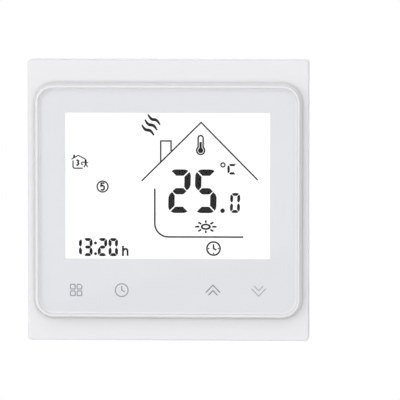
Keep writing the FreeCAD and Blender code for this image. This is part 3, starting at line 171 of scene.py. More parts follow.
# Emulsion paint: plain, pale and matt, with hardly visible roller marks.
material, tree, shader, where = start_material("floor_matt_paint", (60.0, "E9E9E8", "EFEFEE"), Roughness=0.8)
FLOOR_BELOW, FLOOR_RADIUS = 0.25, 1.5
drawing = bmesh.new()
bmesh.ops.create_circle(drawing, cap_ends=True, segments=96, radius=FLOOR_RADIUS)
for vertex in drawing.verts:
    vertex.co.z = cad_box[0][2] - FLOOR_BELOW
floor_mesh = bpy.data.meshes.new("floor")
drawing.to_mesh(floor_mesh)
drawing.free()
floor_mesh.materials.append(material)
floor = bpy.data.objects.new("floor", floor_mesh)
bpy.context.scene.collection.objects.link(floor)


# ---------------------------------------------------------------- lens
# A flat window of clear acrylic, laser cut, with its front edge rounded and flame polished.  It is
# bonded to the printed film behind it and stands a little proud of its rim.

lens_low, lens_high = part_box("touch_lens")
LENS_CORNER = 4.7 * MM
LENS_EDGE = 0.5 * MM
EDGE_STEPS = 6
BOND_LINE = 0.06 * MM


def rounded_outline(half_width, half_height, radius, steps=16, middle=(0.0, 0.0)):
    """Points of a rounded rectangle in X and Z, anticlockwise as the front is seen."""
    points = []
    for corner, (sx, sz) in enumerate(((1, 1), (-1, 1), (-1, -1), (1, -1))):
        for step in range(steps + 1):
            angle = math.pi / 2 * (corner + step / steps)
            points.append((middle[0] + sx * (half_width - radius) + radius * math.cos(angle),
                           middle[1] + sz * (half_height - radius) + radius * math.sin(angle)))
    return points


def put(name, mesh, body, smooth_angle=35):
    """Makes a finished mesh an object that rides on a body."""
    mesh.set_sharp_from_angle(angle=math.radians(smooth_angle))
    made = bpy.data.objects.new(name, mesh)
    bpy.context.scene.collection.objects.link(made)
    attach(made, body)
    return made


def make_piece(name, drawing, material, body, smooth_angle=35):
    """Turns a bmesh drawing into a finished piece with its normals outward."""
    bmesh.ops.recalc_face_normals(drawing, faces=drawing.faces)
    mesh = bpy.data.meshes.new(name)
    drawing.to_mesh(mesh)
    drawing.free()
    mesh.shade_smooth()
    mesh.materials.append(material)
    return put(name, mesh, body, smooth_angle)


def loft(drawing, rings, closed=False):
    """A solid through rings with as many points each; a closed one comes back to its first ring."""
    loops = [[drawing.verts.new(point) for point in ring] for ring in rings]
    count = len(loops[0])
    for first, second in zip(loops, loops[1:] + (loops[:1] if closed else [])):
        for i in range(count):
            j = (i + 1) % count
            drawing.faces.new((first[i], first[j], second[j], second[i]))
    if not closed:
        drawing.faces.new(loops[0])
        drawing.faces.new(reversed(loops[-1]))


half_width, half_height = lens_high.x, lens_high.z
profile = [(0.0, lens_high.y - BOND_LINE)]
for step in range(EDGE_STEPS + 1):
    turn = math.pi / 2 * step / EDGE_STEPS
    profile.append((LENS_EDGE * (1 - math.cos(turn)), lens_low.y + LENS_EDGE * (1 - math.sin(turn))))
rings = []
for inset, out in profile:
    outline = rounded_outline(half_width - inset, half_height - inset, LENS_CORNER - inset)
    rings.append([(x, out, z) for x, z in outline])

material, tree, shader, where = start_material("clear_cast_acrylic")
# Clear PMMA with an anti-glare coat: everything behind it shows through, 1.5% is mirrored straight on
# and more at a flat angle, and casting leaves long, faint waves.  The bonded back mirrors nothing.
MIRRORED_HEAD_ON, MORE_AT_GRAZING, GRAZING_POWER = 0.015, 0.96, 5.0
clear = add(tree, "ShaderNodeBsdfTransparent", {"Color": colour("FEFEFE")})
gloss = add(tree, "ShaderNodeBsdfGlossy", {"Color": white, "Roughness": 0.04})
waves = spread(tree, where, 35.0, 0.0, 1.0, 1.0)
ripple = add(tree, "ShaderNodeBump", {"Height": waves, "Distance": 0.004 * MM})
tree.links.new(ripple.outputs[0], gloss.inputs["Normal"])
grazing = add(tree, "ShaderNodeLayerWeight", {"Blend": 0.5}).outputs["Facing"]
steep = add(tree, "ShaderNodeMath", {0: grazing, 1: GRAZING_POWER}, operation="POWER")
coated = add(tree, "ShaderNodeMath", {0: steep, 1: MORE_AT_GRAZING, 2: MIRRORED_HEAD_ON},
             operation="MULTIPLY_ADD")
inside = add(tree, "ShaderNodeNewGeometry").outputs["Backfacing"]
mirrored = add(tree, "ShaderNodeMix", {0: inside, 2: coated, 3: 0.0})
mix = add(tree, "ShaderNodeMixShader", {0: mirrored, 1: clear, 2: gloss})
tree.nodes.remove(shader)
tree.links.new(mix.outputs[0], tree.nodes["Material Output"].inputs["Surface"])
drawing = bmesh.new()
loft(drawing, rings)
lens = make_piece("lens", drawing, material, "front")
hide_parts("touch_lens")

# ---------------------------------------------------------------- printed film and tape
# Polyester film screen printed on its back in pale cool grey, with a clear window, and four touch
# marks in a darker grey.  A frame of foam tape bonds it to the housing.


def finish(material, slot, *names):
    """Gives CAD pieces their finish."""
    for name in names:
        nodes[name].data.materials.clear()
        nodes[name].data.materials.append(material)


material, tree, shader, where = start_material("screen_printed_polyester", (9.0, "E2E3E7", "E5E6EA"))
# Opaque ink under clear film: an even, slightly cool grey with a very faint mottle and a soft gloss.
tree.links.new(spread(tree, where, 3.0, 0.42, 0.5), shader.inputs["Roughness"])
grain(tree, shader, where, 0.4, 0.002)
finish(material, "printed_film", "lens_print_film")

material, tree, shader, where = start_material("closed_cell_foam_tape", (1.5, "E4E4E0", "F0F0EC"),
                                               Roughness=0.85)
# Polyethylene foam: off-white and dull, with tiny cut cells of about 0.2 mm.
cells = add(tree, "ShaderNodeTexVoronoi", {"Vector": where, "Scale": 1 / 0.2})
relief(tree, shader, cells.outputs["Distance"], 0.03)
finish(material, "foam_tape", "lens_tape")


def extrude(drawing, outline, back, front, inner=None):
    """A flat plate with that outline in X and Z; inner is the outline of its hole."""
    rings = [[(x, y, z) for x, z in outline] for y in (front, back)]
    if inner:
        rings += [[(x, y, z) for x, z in inner] for y in (back, front)]
    loft(drawing, rings, closed=bool(inner))

def sides_of(points, width, closed=False):
    """The outlines at half the width to the left and right of a line, with mitred corners."""
    count = len(points)
    left, right = [], []
    for i, (x, z) in enumerate(points):
        before = points[i - 1] if closed or i else points[i]
        after = points[(i + 1) % count] if closed or i < count - 1 else points[i]
        directions = [Vector((b[0] - a[0], b[1] - a[1])).normalized()
                      for a, b in ((before, (x, z)), ((x, z), after)) if a != b]
        normals = [Vector((-d.y, d.x)) for d in directions]
        middle = sum(normals, Vector((0.0, 0.0))).normalized()
        reach = width / 2 / max(0.3, middle.dot(normals[0]))
        left.append((x + middle.x * reach, z + middle.y * reach))
        right.append((x - middle.x * reach, z - middle.y * reach))
    return left, right


def line(drawing, points, width, back, front, closed=False):
    """A drawn line of even width; a closed one is a ring."""
    left, right = sides_of(points, width, closed)
    if closed:
        extrude(drawing, left, back, front, right)
    else:
        extrude(drawing, left + right[::-1], back, front)


def arc(x, z, radius, start=0, end=360, steps=32, squash=1.0):
    """Points of an arc in degrees, anticlockwise; a full turn leaves its last point out."""
    last = steps if abs(end - start) < 360 else steps - 1
    turns = [math.radians(start + (end - start) * i / steps) for i in range(last + 1)]
    return [(x + radius * math.cos(a), z + radius * squash * math.sin(a)) for a in turns]


INK = 0.025 * MM
ink_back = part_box("lens_print_film")[0].y
ink_front = ink_back - INK
# in millimetres: the row of touch marks, how far the outer and inner ones lie from its middle, and
# how far the print is off centre
TOUCH_LINE = 0.33
KEY_ROW = -28.57
OUTER_KEY, INNER_KEY = 29.2, 14.6
PRINT_SHIFT = -0.1


def millimetres(points):
    """Points given in millimetres, in metres."""
    return [(x * MM, z * MM) for x, z in points]


def ink_line(drawing, points, width=TOUCH_LINE, closed=False):
    """A line of screen ink on the film's front."""
    line(drawing, millimetres(points), width * MM, ink_back, ink_front, closed)

def clock_face(drawing, draw, x, z, radius, width, marks=((1, 0), (0, -1), (-1, 0))):
    """A clock ring with hands at four o'clock and short marks at three, six and nine."""
    draw(drawing, arc(x, z, radius), width, True)
    draw(drawing, [(x, z + radius * 0.66), (x, z), (x + radius * 0.45, z - radius * 0.24)], width)
    for dx, dz in marks:
        ends = [(x + dx * radius * k, z + dz * radius * k) for k in (0.62, 0.84)]
        draw(drawing, ends, width * 0.8)


def printed_ink(name, hex_value, other_value):
    """Matt screen ink whose film is a little uneven."""
    return start_material(name, (0.8, hex_value, other_value), Roughness=0.55)[0]


mid_ink = printed_ink("mid_grey_screen_ink", "8E9299", "969AA1")
dark_ink = printed_ink("dark_grey_screen_ink", "7E8188", "868990")
pale_ink = printed_ink("pale_grey_screen_ink", "A9ABAF", "B1B3B7")

# menu mark: four rounded squares, the upper right one with its corner left open
drawing = bmesh.new()
SQUARE_HALF, SQUARE_MIDDLE, SQUARE_CORNER, CORNER_STEPS = 0.75, 1.06, 0.24, 5
for sx in (-1, 1):
    for sz in (-1, 1):
        middle = (PRINT_SHIFT - OUTER_KEY + sx * SQUARE_MIDDLE, KEY_ROW + sz * SQUARE_MIDDLE)
        outline = rounded_outline(SQUARE_HALF, SQUARE_HALF, SQUARE_CORNER, CORNER_STEPS, middle)
        if (sx, sz) == (1, 1):
            ink_line(drawing, outline[CORNER_STEPS:] + outline[:1])
        else:
            ink_line(drawing, outline, closed=True)
make_piece("touch_mark_menu", drawing, mid_ink, "front")

CLOCK_RADIUS = 2.05
drawing = bmesh.new()
clock_face(drawing, ink_line, PRINT_SHIFT - INNER_KEY, KEY_ROW, CLOCK_RADIUS, TOUCH_LINE, marks=())
make_piece("touch_mark_clock", drawing, mid_ink, "front")

# setting marks: a wide chevron leading and a narrow one following, pointing up and down
for name, x, sign, ink in (("touch_mark_up", INNER_KEY, 1, dark_ink),
                           ("touch_mark_down", OUTER_KEY, -1, pale_ink)):
    drawing = bmesh.new()
    x += PRINT_SHIFT
    for half, apex in ((2.3, 1.75), (1.45, 0.0)):
        tip = KEY_ROW + sign * apex
        foot = tip - sign * half * 1.05
        ink_line(drawing, [(x - half, foot), (x, tip), (x + half, foot)])
    make_piece(name, drawing, ink, "front")

# ---------------------------------------------------------------- raised housing and trim frame
# Two injection mouldings in glossy white ABS.  The housing rises round the lens with sloping sides
# and snaps through the base; the square trim frame is clamped behind its flange.


def moulded_plastic(name, light, dark, roughness, grain_mm, depth_mm, flow_mm=18.0, **constants):
    """Moulded thermoplastic: almost even colour, slow flow waves and the tool's surface grain."""
    material, tree, shader, where = start_material(name, (flow_mm, dark, light), IOR=1.54, **constants)
    tree.links.new(spread(tree, where, flow_mm / 3, roughness - 0.04, roughness + 0.04),
                   shader.inputs["Roughness"])
    grain(tree, shader, where, grain_mm, depth_mm, 1.0)
    return material


# ABS polished in the tool: soft, wide highlights and hardly any grain, drawn at 0.8 mm to show at all.
# A little light goes 1 mm into it.
gloss_abs = moulded_plastic("white_gloss_abs", "EBEBED", "E9E9EB", 0.34, 0.8, 0.0015,
                            Subsurface_Weight=0.5, Subsurface_Radius=(1.0, 1.0, 1.0),
                            Subsurface_Scale=1.0 * MM)
finish(gloss_abs, "white_gloss_abs", "front_housing", "outer_frame")


def edge_ring(name, half_width, half_height, corner, profile, material):
    """A ring that follows a rounded outline; profile lists (distance outside the outline, Y) in metres."""
    drawing = bmesh.new()
    rings = []
    for offset, y in profile:
        outline = rounded_outline(half_width + offset, half_height + offset, corner + offset)
        rings.append([(x, y, z) for x, z in outline])
    loft(drawing, rings, closed=True)
    return make_piece(name, drawing, material, "front", 50)


# The housing's foot runs into the trim with a small moulded fillet that closes the seam, and a bead of
# white silicone fills the gap between the lens and its rim.
FOOT_HALF = Vector((42.95, 37.75)) * MM
FOOT_CORNER = 6.4 * MM
FILLET_SIDE, FILLET_RISE, FILLET_STEPS = 0.45 * MM, 0.4 * MM, 6
trim_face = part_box("outer_frame")[0].y
foot_profile = [(-0.25 * MM, trim_face + 0.4 * MM), (-0.25 * MM, trim_face - 0.45 * MM)]
for step in range(FILLET_STEPS + 1):
    turn = math.pi / 2 * step / FILLET_STEPS
    foot_profile.append((-0.2 * MM + FILLET_SIDE * (1 - math.cos(turn)),
                         trim_face - 0.42 * MM + FILLET_RISE * math.sin(turn)))
foot_profile.append((0.25 * MM, trim_face + 0.4 * MM))
edge_ring("housing_foot_fillet", FOOT_HALF.x, FOOT_HALF.y, FOOT_CORNER, foot_profile, gloss_abs)

material, tree, shader, where = start_material("white_silicone_bead", (4.0, "EDEDEE", "F3F3F4"),
                                               Roughness=0.4)
# Neutral-cure silicone: milky, softly shining, with slight swells left by the nozzle.
grain(tree, shader, where, 2.0, 0.01)
rim_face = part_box("front_housing")[0].y
bead_front = lens_high.y - 0.04 * MM
bead_profile = [(-0.5 * MM, bead_front), (-0.03 * MM, bead_front), (0.01 * MM, rim_face + 0.05 * MM),
                (0.09 * MM, rim_face + 0.05 * MM), (0.09 * MM, bead_front + 0.03 * MM),
                (-0.5 * MM, bead_front + 0.03 * MM)]
edge_ring("lens_bead", half_width, half_height, LENS_CORNER, bead_profile, material)

# ---------------------------------------------------------------- display
# A glass liquid crystal cell between two polarisers, lit from behind.  Its fixed symbols are drawn
# in the cell and look black on a white field.

material, tree, shader, where = start_material(
    "lit_polariser_film", (30.0, "B4B6B6", "BCBEBE"), Roughness=0.38,
    Emission_Color=colour("FDFEFF"), Emission_Strength=0.6)
# Matt anti-glare polariser over a backlight: an even white light that the light guide varies very
# slightly, and a haze too fine to see that blurs reflections.
grain(tree, shader, where, 0.25, 0.001)
finish(material, "polariser_film", "lcd_polarisers")

symbol_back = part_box("lcd_polarisers")[0].y - 0.01 * MM
symbol_front = symbol_back - 0.03 * MM


def segment_line(drawing, points, width, closed=False):
    """A line of the display, in millimetres."""
    line(drawing, millimetres(points), width * MM, symbol_back, symbol_front, closed)


def segment_shape(drawing, points):
    """A filled shape of the display, in millimetres."""
    extrude(drawing, millimetres(points), symbol_back, symbol_front)


def digit_shapes(width, height, thick, gap, corner):
    """The seven segments of a digit about its middle, cut apart on the diagonals."""
    w, h, cut = width / 2, height / 2, gap / math.sqrt(2)
    tip = math.degrees(math.acos(cut / corner / math.sqrt(2))) - 45
    bend = [(corner * (1 - math.cos(math.radians(a))), corner * (1 - math.sin(math.radians(a))))
            for a in (90 - tip, 90 - tip * 0.6, 90 - tip * 0.3, 90)]
    top = [(-w + x, h - z) for x, z in bend] + [(w - x, h - z) for x, z in reversed(bend)]
    top += [(w - thick - cut, h - thick), (-w + thick + cut, h - thick)]
    side = [(w - z, h - x) for x, z in bend]
    side += [(w, thick * 0.95), (w - thick * 0.17, thick * 0.5), (w - thick / 2 - cut / 2, cut * 0.8),
             (w - thick * 0.85, thick * 0.45), (w - thick, thick * 0.7), (w - thick, h - thick - cut)]
    reach = w - thick * 0.5 - cut * 0.8
    bar = [(-reach, 0.0), (-reach + thick * 0.45, thick * 0.45), (-reach + thick * 0.65, thick / 2)]
    bar += [(-x, z) for x, z in reversed(bar)]
    bar += [(x, -z) for x, z in reversed(bar[1:-1])]
    shapes = {"g": bar}
    for letter, shape, sx, sz in (("a", top, 1, 1), ("b", side, 1, 1), ("c", side, 1, -1), ("d", top, 1, -1),
                                  ("e", side, -1, -1), ("f", side, -1, 1)):
        shapes[letter] = [(x * sx, z * sz) for x, z in shape]
    return shapes


LIT = {"0": "abcdef", "1": "bc", "2": "abged", "3": "abgcd", "5": "afgcd"}
LEAN = 0.025


def digit(drawing, text, x, z, width, height, thick, gap, corner, slant=LEAN):
    """One digit at its middle, from its lit segments, leaning to the right."""
    shapes = digit_shapes(width, height, thick, gap, corner)
    for letter in LIT[text]:
        segment_shape(drawing, [(x + px + slant * pz, z + pz) for px, pz in shapes[letter]])


symbols = bmesh.new()
# room temperature, 25.0, with the degree sign and C; a digit's sizes are its width, height, stroke,
# gap between segments and outer corner
LARGE_DIGIT = (7.0, 13.95, 2.03, 0.42, 2.2)
TENTHS_DIGIT = (3.2, 6.4, 0.95, 0.2, 1.3)
for text, x in (("2", 3.8), ("5", 12.2)):
    digit(symbols, text, x, 3.2, *LARGE_DIGIT)
digit(symbols, "0", 21.55, -0.5, *TENTHS_DIGIT)
segment_shape(symbols, arc(17.55, -3.0, 0.73))
segment_line(symbols, arc(17.66, 11.65, 0.64, squash=1.0), 0.44, True)
for letter_part in (((19.65, 11.7), (19.9, 11.98), (21.85, 11.95), (21.35, 11.3), (20.1, 11.22)),
                    ((19.08, 10.8), (19.15, 11.35), (19.45, 11.55), (19.85, 11.1), (19.85, 9.5),
                     (19.4, 8.95), (19.12, 9.3)),
                    ((19.65, 8.85), (20.1, 9.35), (21.15, 9.35), (21.65, 8.65), (20.2, 8.55))):
    segment_shape(symbols, list(letter_part))

# house: roof, chimney with three wisps, wall and floor
HOUSE_LINE, WALL_LINE = 0.46, 0.5
segment_line(symbols, [(-8.3, 6.45), (10.7, 25.2), (28.75, 6.85)], HOUSE_LINE)
segment_line(symbols, [(-2.2, 12.55), (-2.2, 19.25), (1.1, 19.25), (1.1, 16.0)], HOUSE_LINE)
floor_corner = arc(0.2, -7.15, 4.3, 180, 270, 10)
segment_line(symbols, [(-4.1, 4.0)] + floor_corner + [(24.2, -11.42)], WALL_LINE)


def narrowed(a, b, keep):
    """The point on a's side of the middle between a and b, at a share of its distance."""
    return tuple(0.5 * (p + q) + keep * (p - q) / 2 for p, q in zip(a, b))


WISP_STEPS = 14
for x, z in ((-4.35, 26.05), (-5.3, 24.35), (-6.3, 22.7)):
    wave, swell = [], []
    for i in range(WISP_STEPS + 1):
        t = i / WISP_STEPS
        wave.append((x - 1.95 + 3.9 * t, z + 1.7 - 3.4 * t - 0.5 * math.sin(2 * math.pi * t)))
        swell.append(0.98 * math.sin(math.pi * (0.1 + 0.8 * t)) ** 0.7)
    sides = list(zip(*sides_of(wave, 1.0), swell))
    outline = [narrowed(a, b, keep) for a, b, keep in sides]
    segment_shape(symbols, outline + [narrowed(b, a, keep) for a, b, keep in reversed(sides)])

# thermometer: glass tube and bulb, with its column
TUBE, BULB, STEM, COLUMN_BULB = 0.8, 1.28, 0.36, 0.86
TUBE_X, TUBE_TOP, COLUMN_TOP, BULB_Z = 10.55, 20.2, 18.95, 16.25
joint = math.degrees(math.asin(TUBE / BULB))
glass = arc(TUBE_X, TUBE_TOP, TUBE, 0, 180, 12) + arc(TUBE_X, BULB_Z, BULB, 90 + joint, 450 - joint, 28)
segment_line(symbols, glass, 0.48, True)
column = [(TUBE_X + STEM, COLUMN_TOP), (TUBE_X - STEM, COLUMN_TOP)]
segment_shape(symbols, column + arc(TUBE_X, BULB_Z, COLUMN_BULB, 115, 425, 20))

# sun with eight rays
SUN_X, SUN_Z, RAY_ACROSS, RAY_UP, RAY_STARTS = 12.2, -8.15, 3.42, 2.05, 0.6
extrude(symbols, millimetres(arc(SUN_X, SUN_Z, 1.62, squash=0.62)), symbol_back, symbol_front,
        millimetres(arc(SUN_X, SUN_Z, 0.96, squash=0.46)))
for i in range(8):
    angle = math.radians(45 * i)
    ray = [(SUN_X + RAY_ACROSS * share * math.cos(angle), SUN_Z + RAY_UP * share * math.sin(angle))
           for share in (RAY_STARTS, 1.0)]
    segment_line(symbols, ray, 0.56)

clock_face(symbols, segment_line, 14.67, -15.12, 2.12, 0.5)

# time of day, 13:20 h
TIME_DIGIT = (3.05, 5.8, 0.98, 0.12, 1.15)
for text, x in (("1", -28.95), ("3", -25.55), ("2", -20.85), ("0", -17.4)):
    digit(symbols, text, x, -14.8, *TIME_DIGIT, slant=0.0)
for z in (-13.5, -16.9):
    segment_shape(symbols, arc(-23.1, z, 0.48, steps=20))
segment_line(symbols, [(-14.3, -14.35), (-14.3, -17.6)], 0.62)
segment_line(symbols, [(-14.3, -15.9)] + arc(-13.45, -15.95, 0.62, 130, 0, 8) + [(-12.83, -17.6)], 0.6)

# programme marks: house left behind by a walking figure, and a ringed day number
segment_line(symbols, [(-30.75, 13.35), (-28.55, 14.55), (-26.3, 13.4)], 0.36)
segment_shape(symbols, [(-30.2, 13.75), (-30.2, 14.75), (-29.6, 14.75), (-29.6, 14.05)])
segment_line(symbols, [(-30.25, 12.95), (-30.25, 11.05)] + arc(-29.7, 11.0, 0.55, 180, 270, 5) +
             [(-27.1, 10.45)], 0.42)
segment_line(symbols, [(-29.2, 12.9), (-28.75, 13.05), (-28.45, 12.75), (-28.7, 12.3), (-28.4, 11.85),
                       (-28.7, 11.45), (-29.2, 11.55)], 0.48)
segment_line(symbols, arc(-27.15, 12.0, 0.42, 60, 290, 8), 0.36)
segment_shape(symbols, arc(-26.2, 13.0, 0.36, steps=14))
segment_line(symbols, [(-26.2, 12.7), (-26.2, 11.7)], 0.62)
segment_line(symbols, [(-27.0, 12.3), (-26.2, 12.5), (-25.35, 12.15)], 0.32)
segment_line(symbols, [(-26.75, 10.75), (-26.2, 11.8), (-25.5, 10.8)], 0.36)
segment_line(symbols, arc(-20.8, 4.6, 1.74), 0.44, True)
segment_line(symbols, [(-20.2, 5.7), (-21.2, 5.7), (-21.3, 4.75), (-20.75, 4.95), (-20.3, 4.6), (-20.3, 3.85),
                       (-20.75, 3.45), (-21.4, 3.6)], 0.5)

# Switched-on crystal between crossed polarisers: near black, with hardly any shine.
material = start_material("liquid_crystal_segments", (2.0, "030304", "08080A"), Roughness=0.35,
                          Specular_IOR_Level=0.05)[0]
make_piece("display_symbols", symbols, material, "front")

material, tree, shader, where = start_material(
    "soda_lime_display_glass", Base_Color=colour("DCE8E2"), Alpha=0.35, IOR=1.52)
# Float glass 0.7 mm thick: clear and smooth, with a faint green tint.
tree.links.new(spread(tree, where, 1.2, 0.05, 0.16), shader.inputs["Roughness"])
finish(material, "display_glass", "lcd_front_glass", "lcd_rear_glass")


def plated_metal(name, light, dark, roughness, streak_mm, length_mm, depth_mm):
    """Plated or rolled metal: fine parallel marks along Y and patches of different brightness."""
    material, tree, shader, where = start_material(name, (2.5, dark, light), Metallic=1.0)
    drawn = add(tree, "ShaderNodeMapping", {"Vector": where, "Scale": (1.0, streak_mm / length_mm, 1.0)})
    tree.links.new(spread(tree, drawn, streak_mm * 2, roughness - 0.06, roughness + 0.08),
                   shader.inputs["Roughness"])
    grain(tree, shader, drawn, streak_mm, depth_mm, 3.0)
    return material


tinned = plated_metal("tinned_spring_steel", "C9CBCD", "B4B7BA", 0.32, 0.12, 1.5, 0.003)
finish(tinned, "tinned_steel", "lcd_pins")

material, tree, shader, where = start_material("acrylic_light_guide", Roughness=0.25, IOR=1.49)
# Clear acrylic plate with white extraction dots 0.6 mm across printed on a 0.9 mm grid.
dots = add(tree, "ShaderNodeTexVoronoi", {"Vector": where, "Scale": 1 / 0.9, "Randomness": 0.0},
           voronoi_dimensions="3D")
dot = add(tree, "ShaderNodeMath", {0: dots.outputs["Distance"], 1: 0.35}, operation="LESS_THAN")
tint = add(tree, "ShaderNodeMix", {0: dot, 6: colour("E3EBEE"), 7: white}, data_type="RGBA")
tree.links.new(tint.outputs[2], shader.inputs["Base Color"])
finish(material, "light_guide", "backlight_diffuser")

# The tray is moulded in titanium-white polycarbonate so that it reflects the lamps' light.
tray_plastic = moulded_plastic("white_reflector_polycarbonate", "F4F5F4", "EEEFEE", 0.45, 0.5, 0.004)
finish(tray_plastic, "white_tray", "backlight_frame")

# Silicone with yellow phosphor over each blue die: soft, pale yellow and a little deep.
material = start_material("lamp_phosphor_gel", (0.3, "E9D77A", "F3E9A8"), Roughness=0.3,
                          Subsurface_Weight=0.2)[0]
finish(material, "lamp_phosphor", "backlight_leds")

# ---------------------------------------------------------------- control board
# A 1.6 mm glass-epoxy board with green solder mask over tinned copper tracks.  Its chips, crystal,
# buzzer, cell and sensor are soldered on the side that faces the wall.

BAND = 0.32


def board_material(name, light, dark, **constants):
    """Solder mask over woven glass: the 0.5 mm weave just shows through a smooth, tinted lacquer."""
    material, tree, shader, where = start_material(name, (6.0, dark, light), Roughness=0.28, **constants)
    # a wave texture's bands are BAND apart at scale 1
    warp = add(tree, "ShaderNodeTexWave", {"Vector": where, "Scale": BAND / 0.5}, bands_direction="X")
    weft = add(tree, "ShaderNodeTexWave", {"Vector": where, "Scale": BAND / 0.5}, bands_direction="Z")
    weave = add(tree, "ShaderNodeMath", {0: warp.outputs["Fac"], 1: weft.outputs["Fac"]},
                operation="MULTIPLY")
    relief(tree, shader, weave, 0.01)
    return material


control_mask = board_material("green_solder_mask", "1F6B3E", "185A33")
finish(control_mask, "circuit_board", "control_board")
masked_copper = board_material("solder_mask_over_copper", "348A54", "2C7C49", Metallic=0.35)
control_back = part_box("control_board")[1].y
COPPER = 0.05 * MM


def track(drawing, start, end, width, face, out):
    """A copper track that leaves along Z, turns once at 45 degrees and ends along Z."""
    (x0, z0), (x1, z1) = start, end
    run = abs(x1 - x0)
    sign = 1 if z1 > z0 else -1
    bend = z0 + sign * max(0.0, (abs(z1 - z0) - run) / 2)
    points = [(x0, z0), (x0, bend), (x1, bend + sign * min(run, abs(z1 - z0))), (x1, z1)]
    points = [p for i, p in enumerate(points) if i == 0 or math.dist(p, points[i - 1]) > 0.01]
    line(drawing, millimetres(points), width * MM, face, face + out * COPPER)


def sheet_group(kind_name, fields):
    """A new Geometry Nodes tree with a mesh coming in, number fields and a material."""
    tree = bpy.data.node_groups.new(kind_name, "GeometryNodeTree")
    tree.interface.new_socket("Places", in_out="INPUT", socket_type="NodeSocketGeometry")
    for field in fields:
        tree.interface.new_socket(field, in_out="INPUT", socket_type="NodeSocketFloat")
    tree.interface.new_socket("Finish", in_out="INPUT", socket_type="NodeSocketMaterial")
    tree.interface.new_socket("Mesh", in_out="OUTPUT", socket_type="NodeSocketGeometry")
    return tree, add(tree, "NodeGroupInput").outputs


def end_group(tree, fields, shape):
    """Sets the shape at every place, makes it real and gives it its finish."""
    placed = add(tree, "GeometryNodeInstanceOnPoints", {"Points": fields["Places"], "Instance": shape})
    real = add(tree, "GeometryNodeRealizeInstances", {0: placed})
    smooth = add(tree, "GeometryNodeSetShadeSmooth", {"Geometry": real, "Shade Smooth": True})
    done = add(tree, "GeometryNodeSetMaterial", {"Geometry": smooth, "Material": fields["Finish"]})
    add(tree, "NodeGroupOutput", {0: done})


def grow(name, tree, places, body, slot, material, flip_at=None, **sizes_mm):
    """Runs a tree on a list of places in metres and keeps the result as one plain mesh.

    With flip_at the shapes point the other way, mirrored in the plane at that Y.
    """
    mesh = bpy.data.meshes.new(name + "_places")
    mesh.from_pydata([tuple(place) for place in places], [], [])
    holder = bpy.data.objects.new(name + "_places", mesh)
    bpy.context.scene.collection.objects.link(holder)
    modifier = holder.modifiers.new(name, "NODES")
    modifier.node_group = tree
    for item in tree.interface.items_tree:
        if item.in_out == "INPUT" and item.name == "Finish":
            modifier[item.identifier] = material
        elif item.in_out == "INPUT" and item.name != "Places":
            modifier[item.identifier] = sizes_mm[item.name] * MM
    evaluated = holder.evaluated_get(bpy.context.evaluated_depsgraph_get())
    made_mesh = bpy.data.meshes.new_from_object(evaluated)
    made_mesh.name = name
    bpy.data.objects.remove(holder)
    bpy.data.meshes.remove(mesh)
    made = put(name, made_mesh, body)
    if flip_at is not None:
        for vertex in made_mesh.vertices:
            vertex.co.y = 2 * flip_at - vertex.co.y
        made_mesh.flip_normals()
    return made


# solder joint: a cone of tin with hollow sides round the tip of its pin, standing out of the board
solder_tree, inputs = sheet_group("solder_joint", ("Radius", "Height"))
ball = add(solder_tree, "GeometryNodeMeshUVSphere", {"Segments": 14, "Rings": 9, "Radius": 1.0})
at = add(solder_tree, "GeometryNodeInputPosition")
part_of = add(solder_tree, "ShaderNodeSeparateXYZ", {0: at})
rise = add(solder_tree, "ShaderNodeMath", {0: part_of.outputs["Z"], 1: 0.0}, operation="MAXIMUM")
waist = add(solder_tree, "ShaderNodeMath", {0: rise, 1: -0.75, 2: 1.0}, operation="MULTIPLY_ADD")
hollow = add(solder_tree, "ShaderNodeMath", {0: waist, 1: 1.4}, operation="POWER")
width_at = add(solder_tree, "ShaderNodeMath", {0: hollow, 1: inputs["Radius"]}, operation="MULTIPLY")
across = add(solder_tree, "ShaderNodeMath", {0: part_of.outputs["X"], 1: width_at}, operation="MULTIPLY")
along = add(solder_tree, "ShaderNodeMath", {0: part_of.outputs["Y"], 1: width_at}, operation="MULTIPLY")
tall = add(solder_tree, "ShaderNodeMath", {0: rise, 1: inputs["Height"]}, operation="MULTIPLY")
moved = add(solder_tree, "ShaderNodeCombineXYZ", {0: across, 1: tall, 2: along})
joint_mesh = add(solder_tree, "GeometryNodeSetPosition", {"Geometry": ball, "Position": moved})
flipped = add(solder_tree, "GeometryNodeFlipFaces", {0: joint_mesh})
end_group(solder_tree, inputs, flipped)


def rows(x, z, columns, lines, pitch, pitch_z=None):
    """Places of a grid about its middle, in millimetres."""
    pitch_z = pitch_z or pitch
    return [(x + (i - (columns - 1) / 2) * pitch, z + (j - (lines - 1) / 2) * pitch_z)
            for i in range(columns) for j in range(lines)]


def box_mm(name):
    """A CAD piece's lowest and highest corners in millimetres."""
    return [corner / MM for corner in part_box(name)]


header_low, header_high = box_mm("pin_header_body")
chip_low, chip_high = box_mm("microcontroller")
touch_high = box_mm("touch_controller")[1]
HEADER_PITCH = 2.54
header_pins = rows(0, (header_low.z + header_high.z) / 2, 6, 2, HEADER_PITCH)

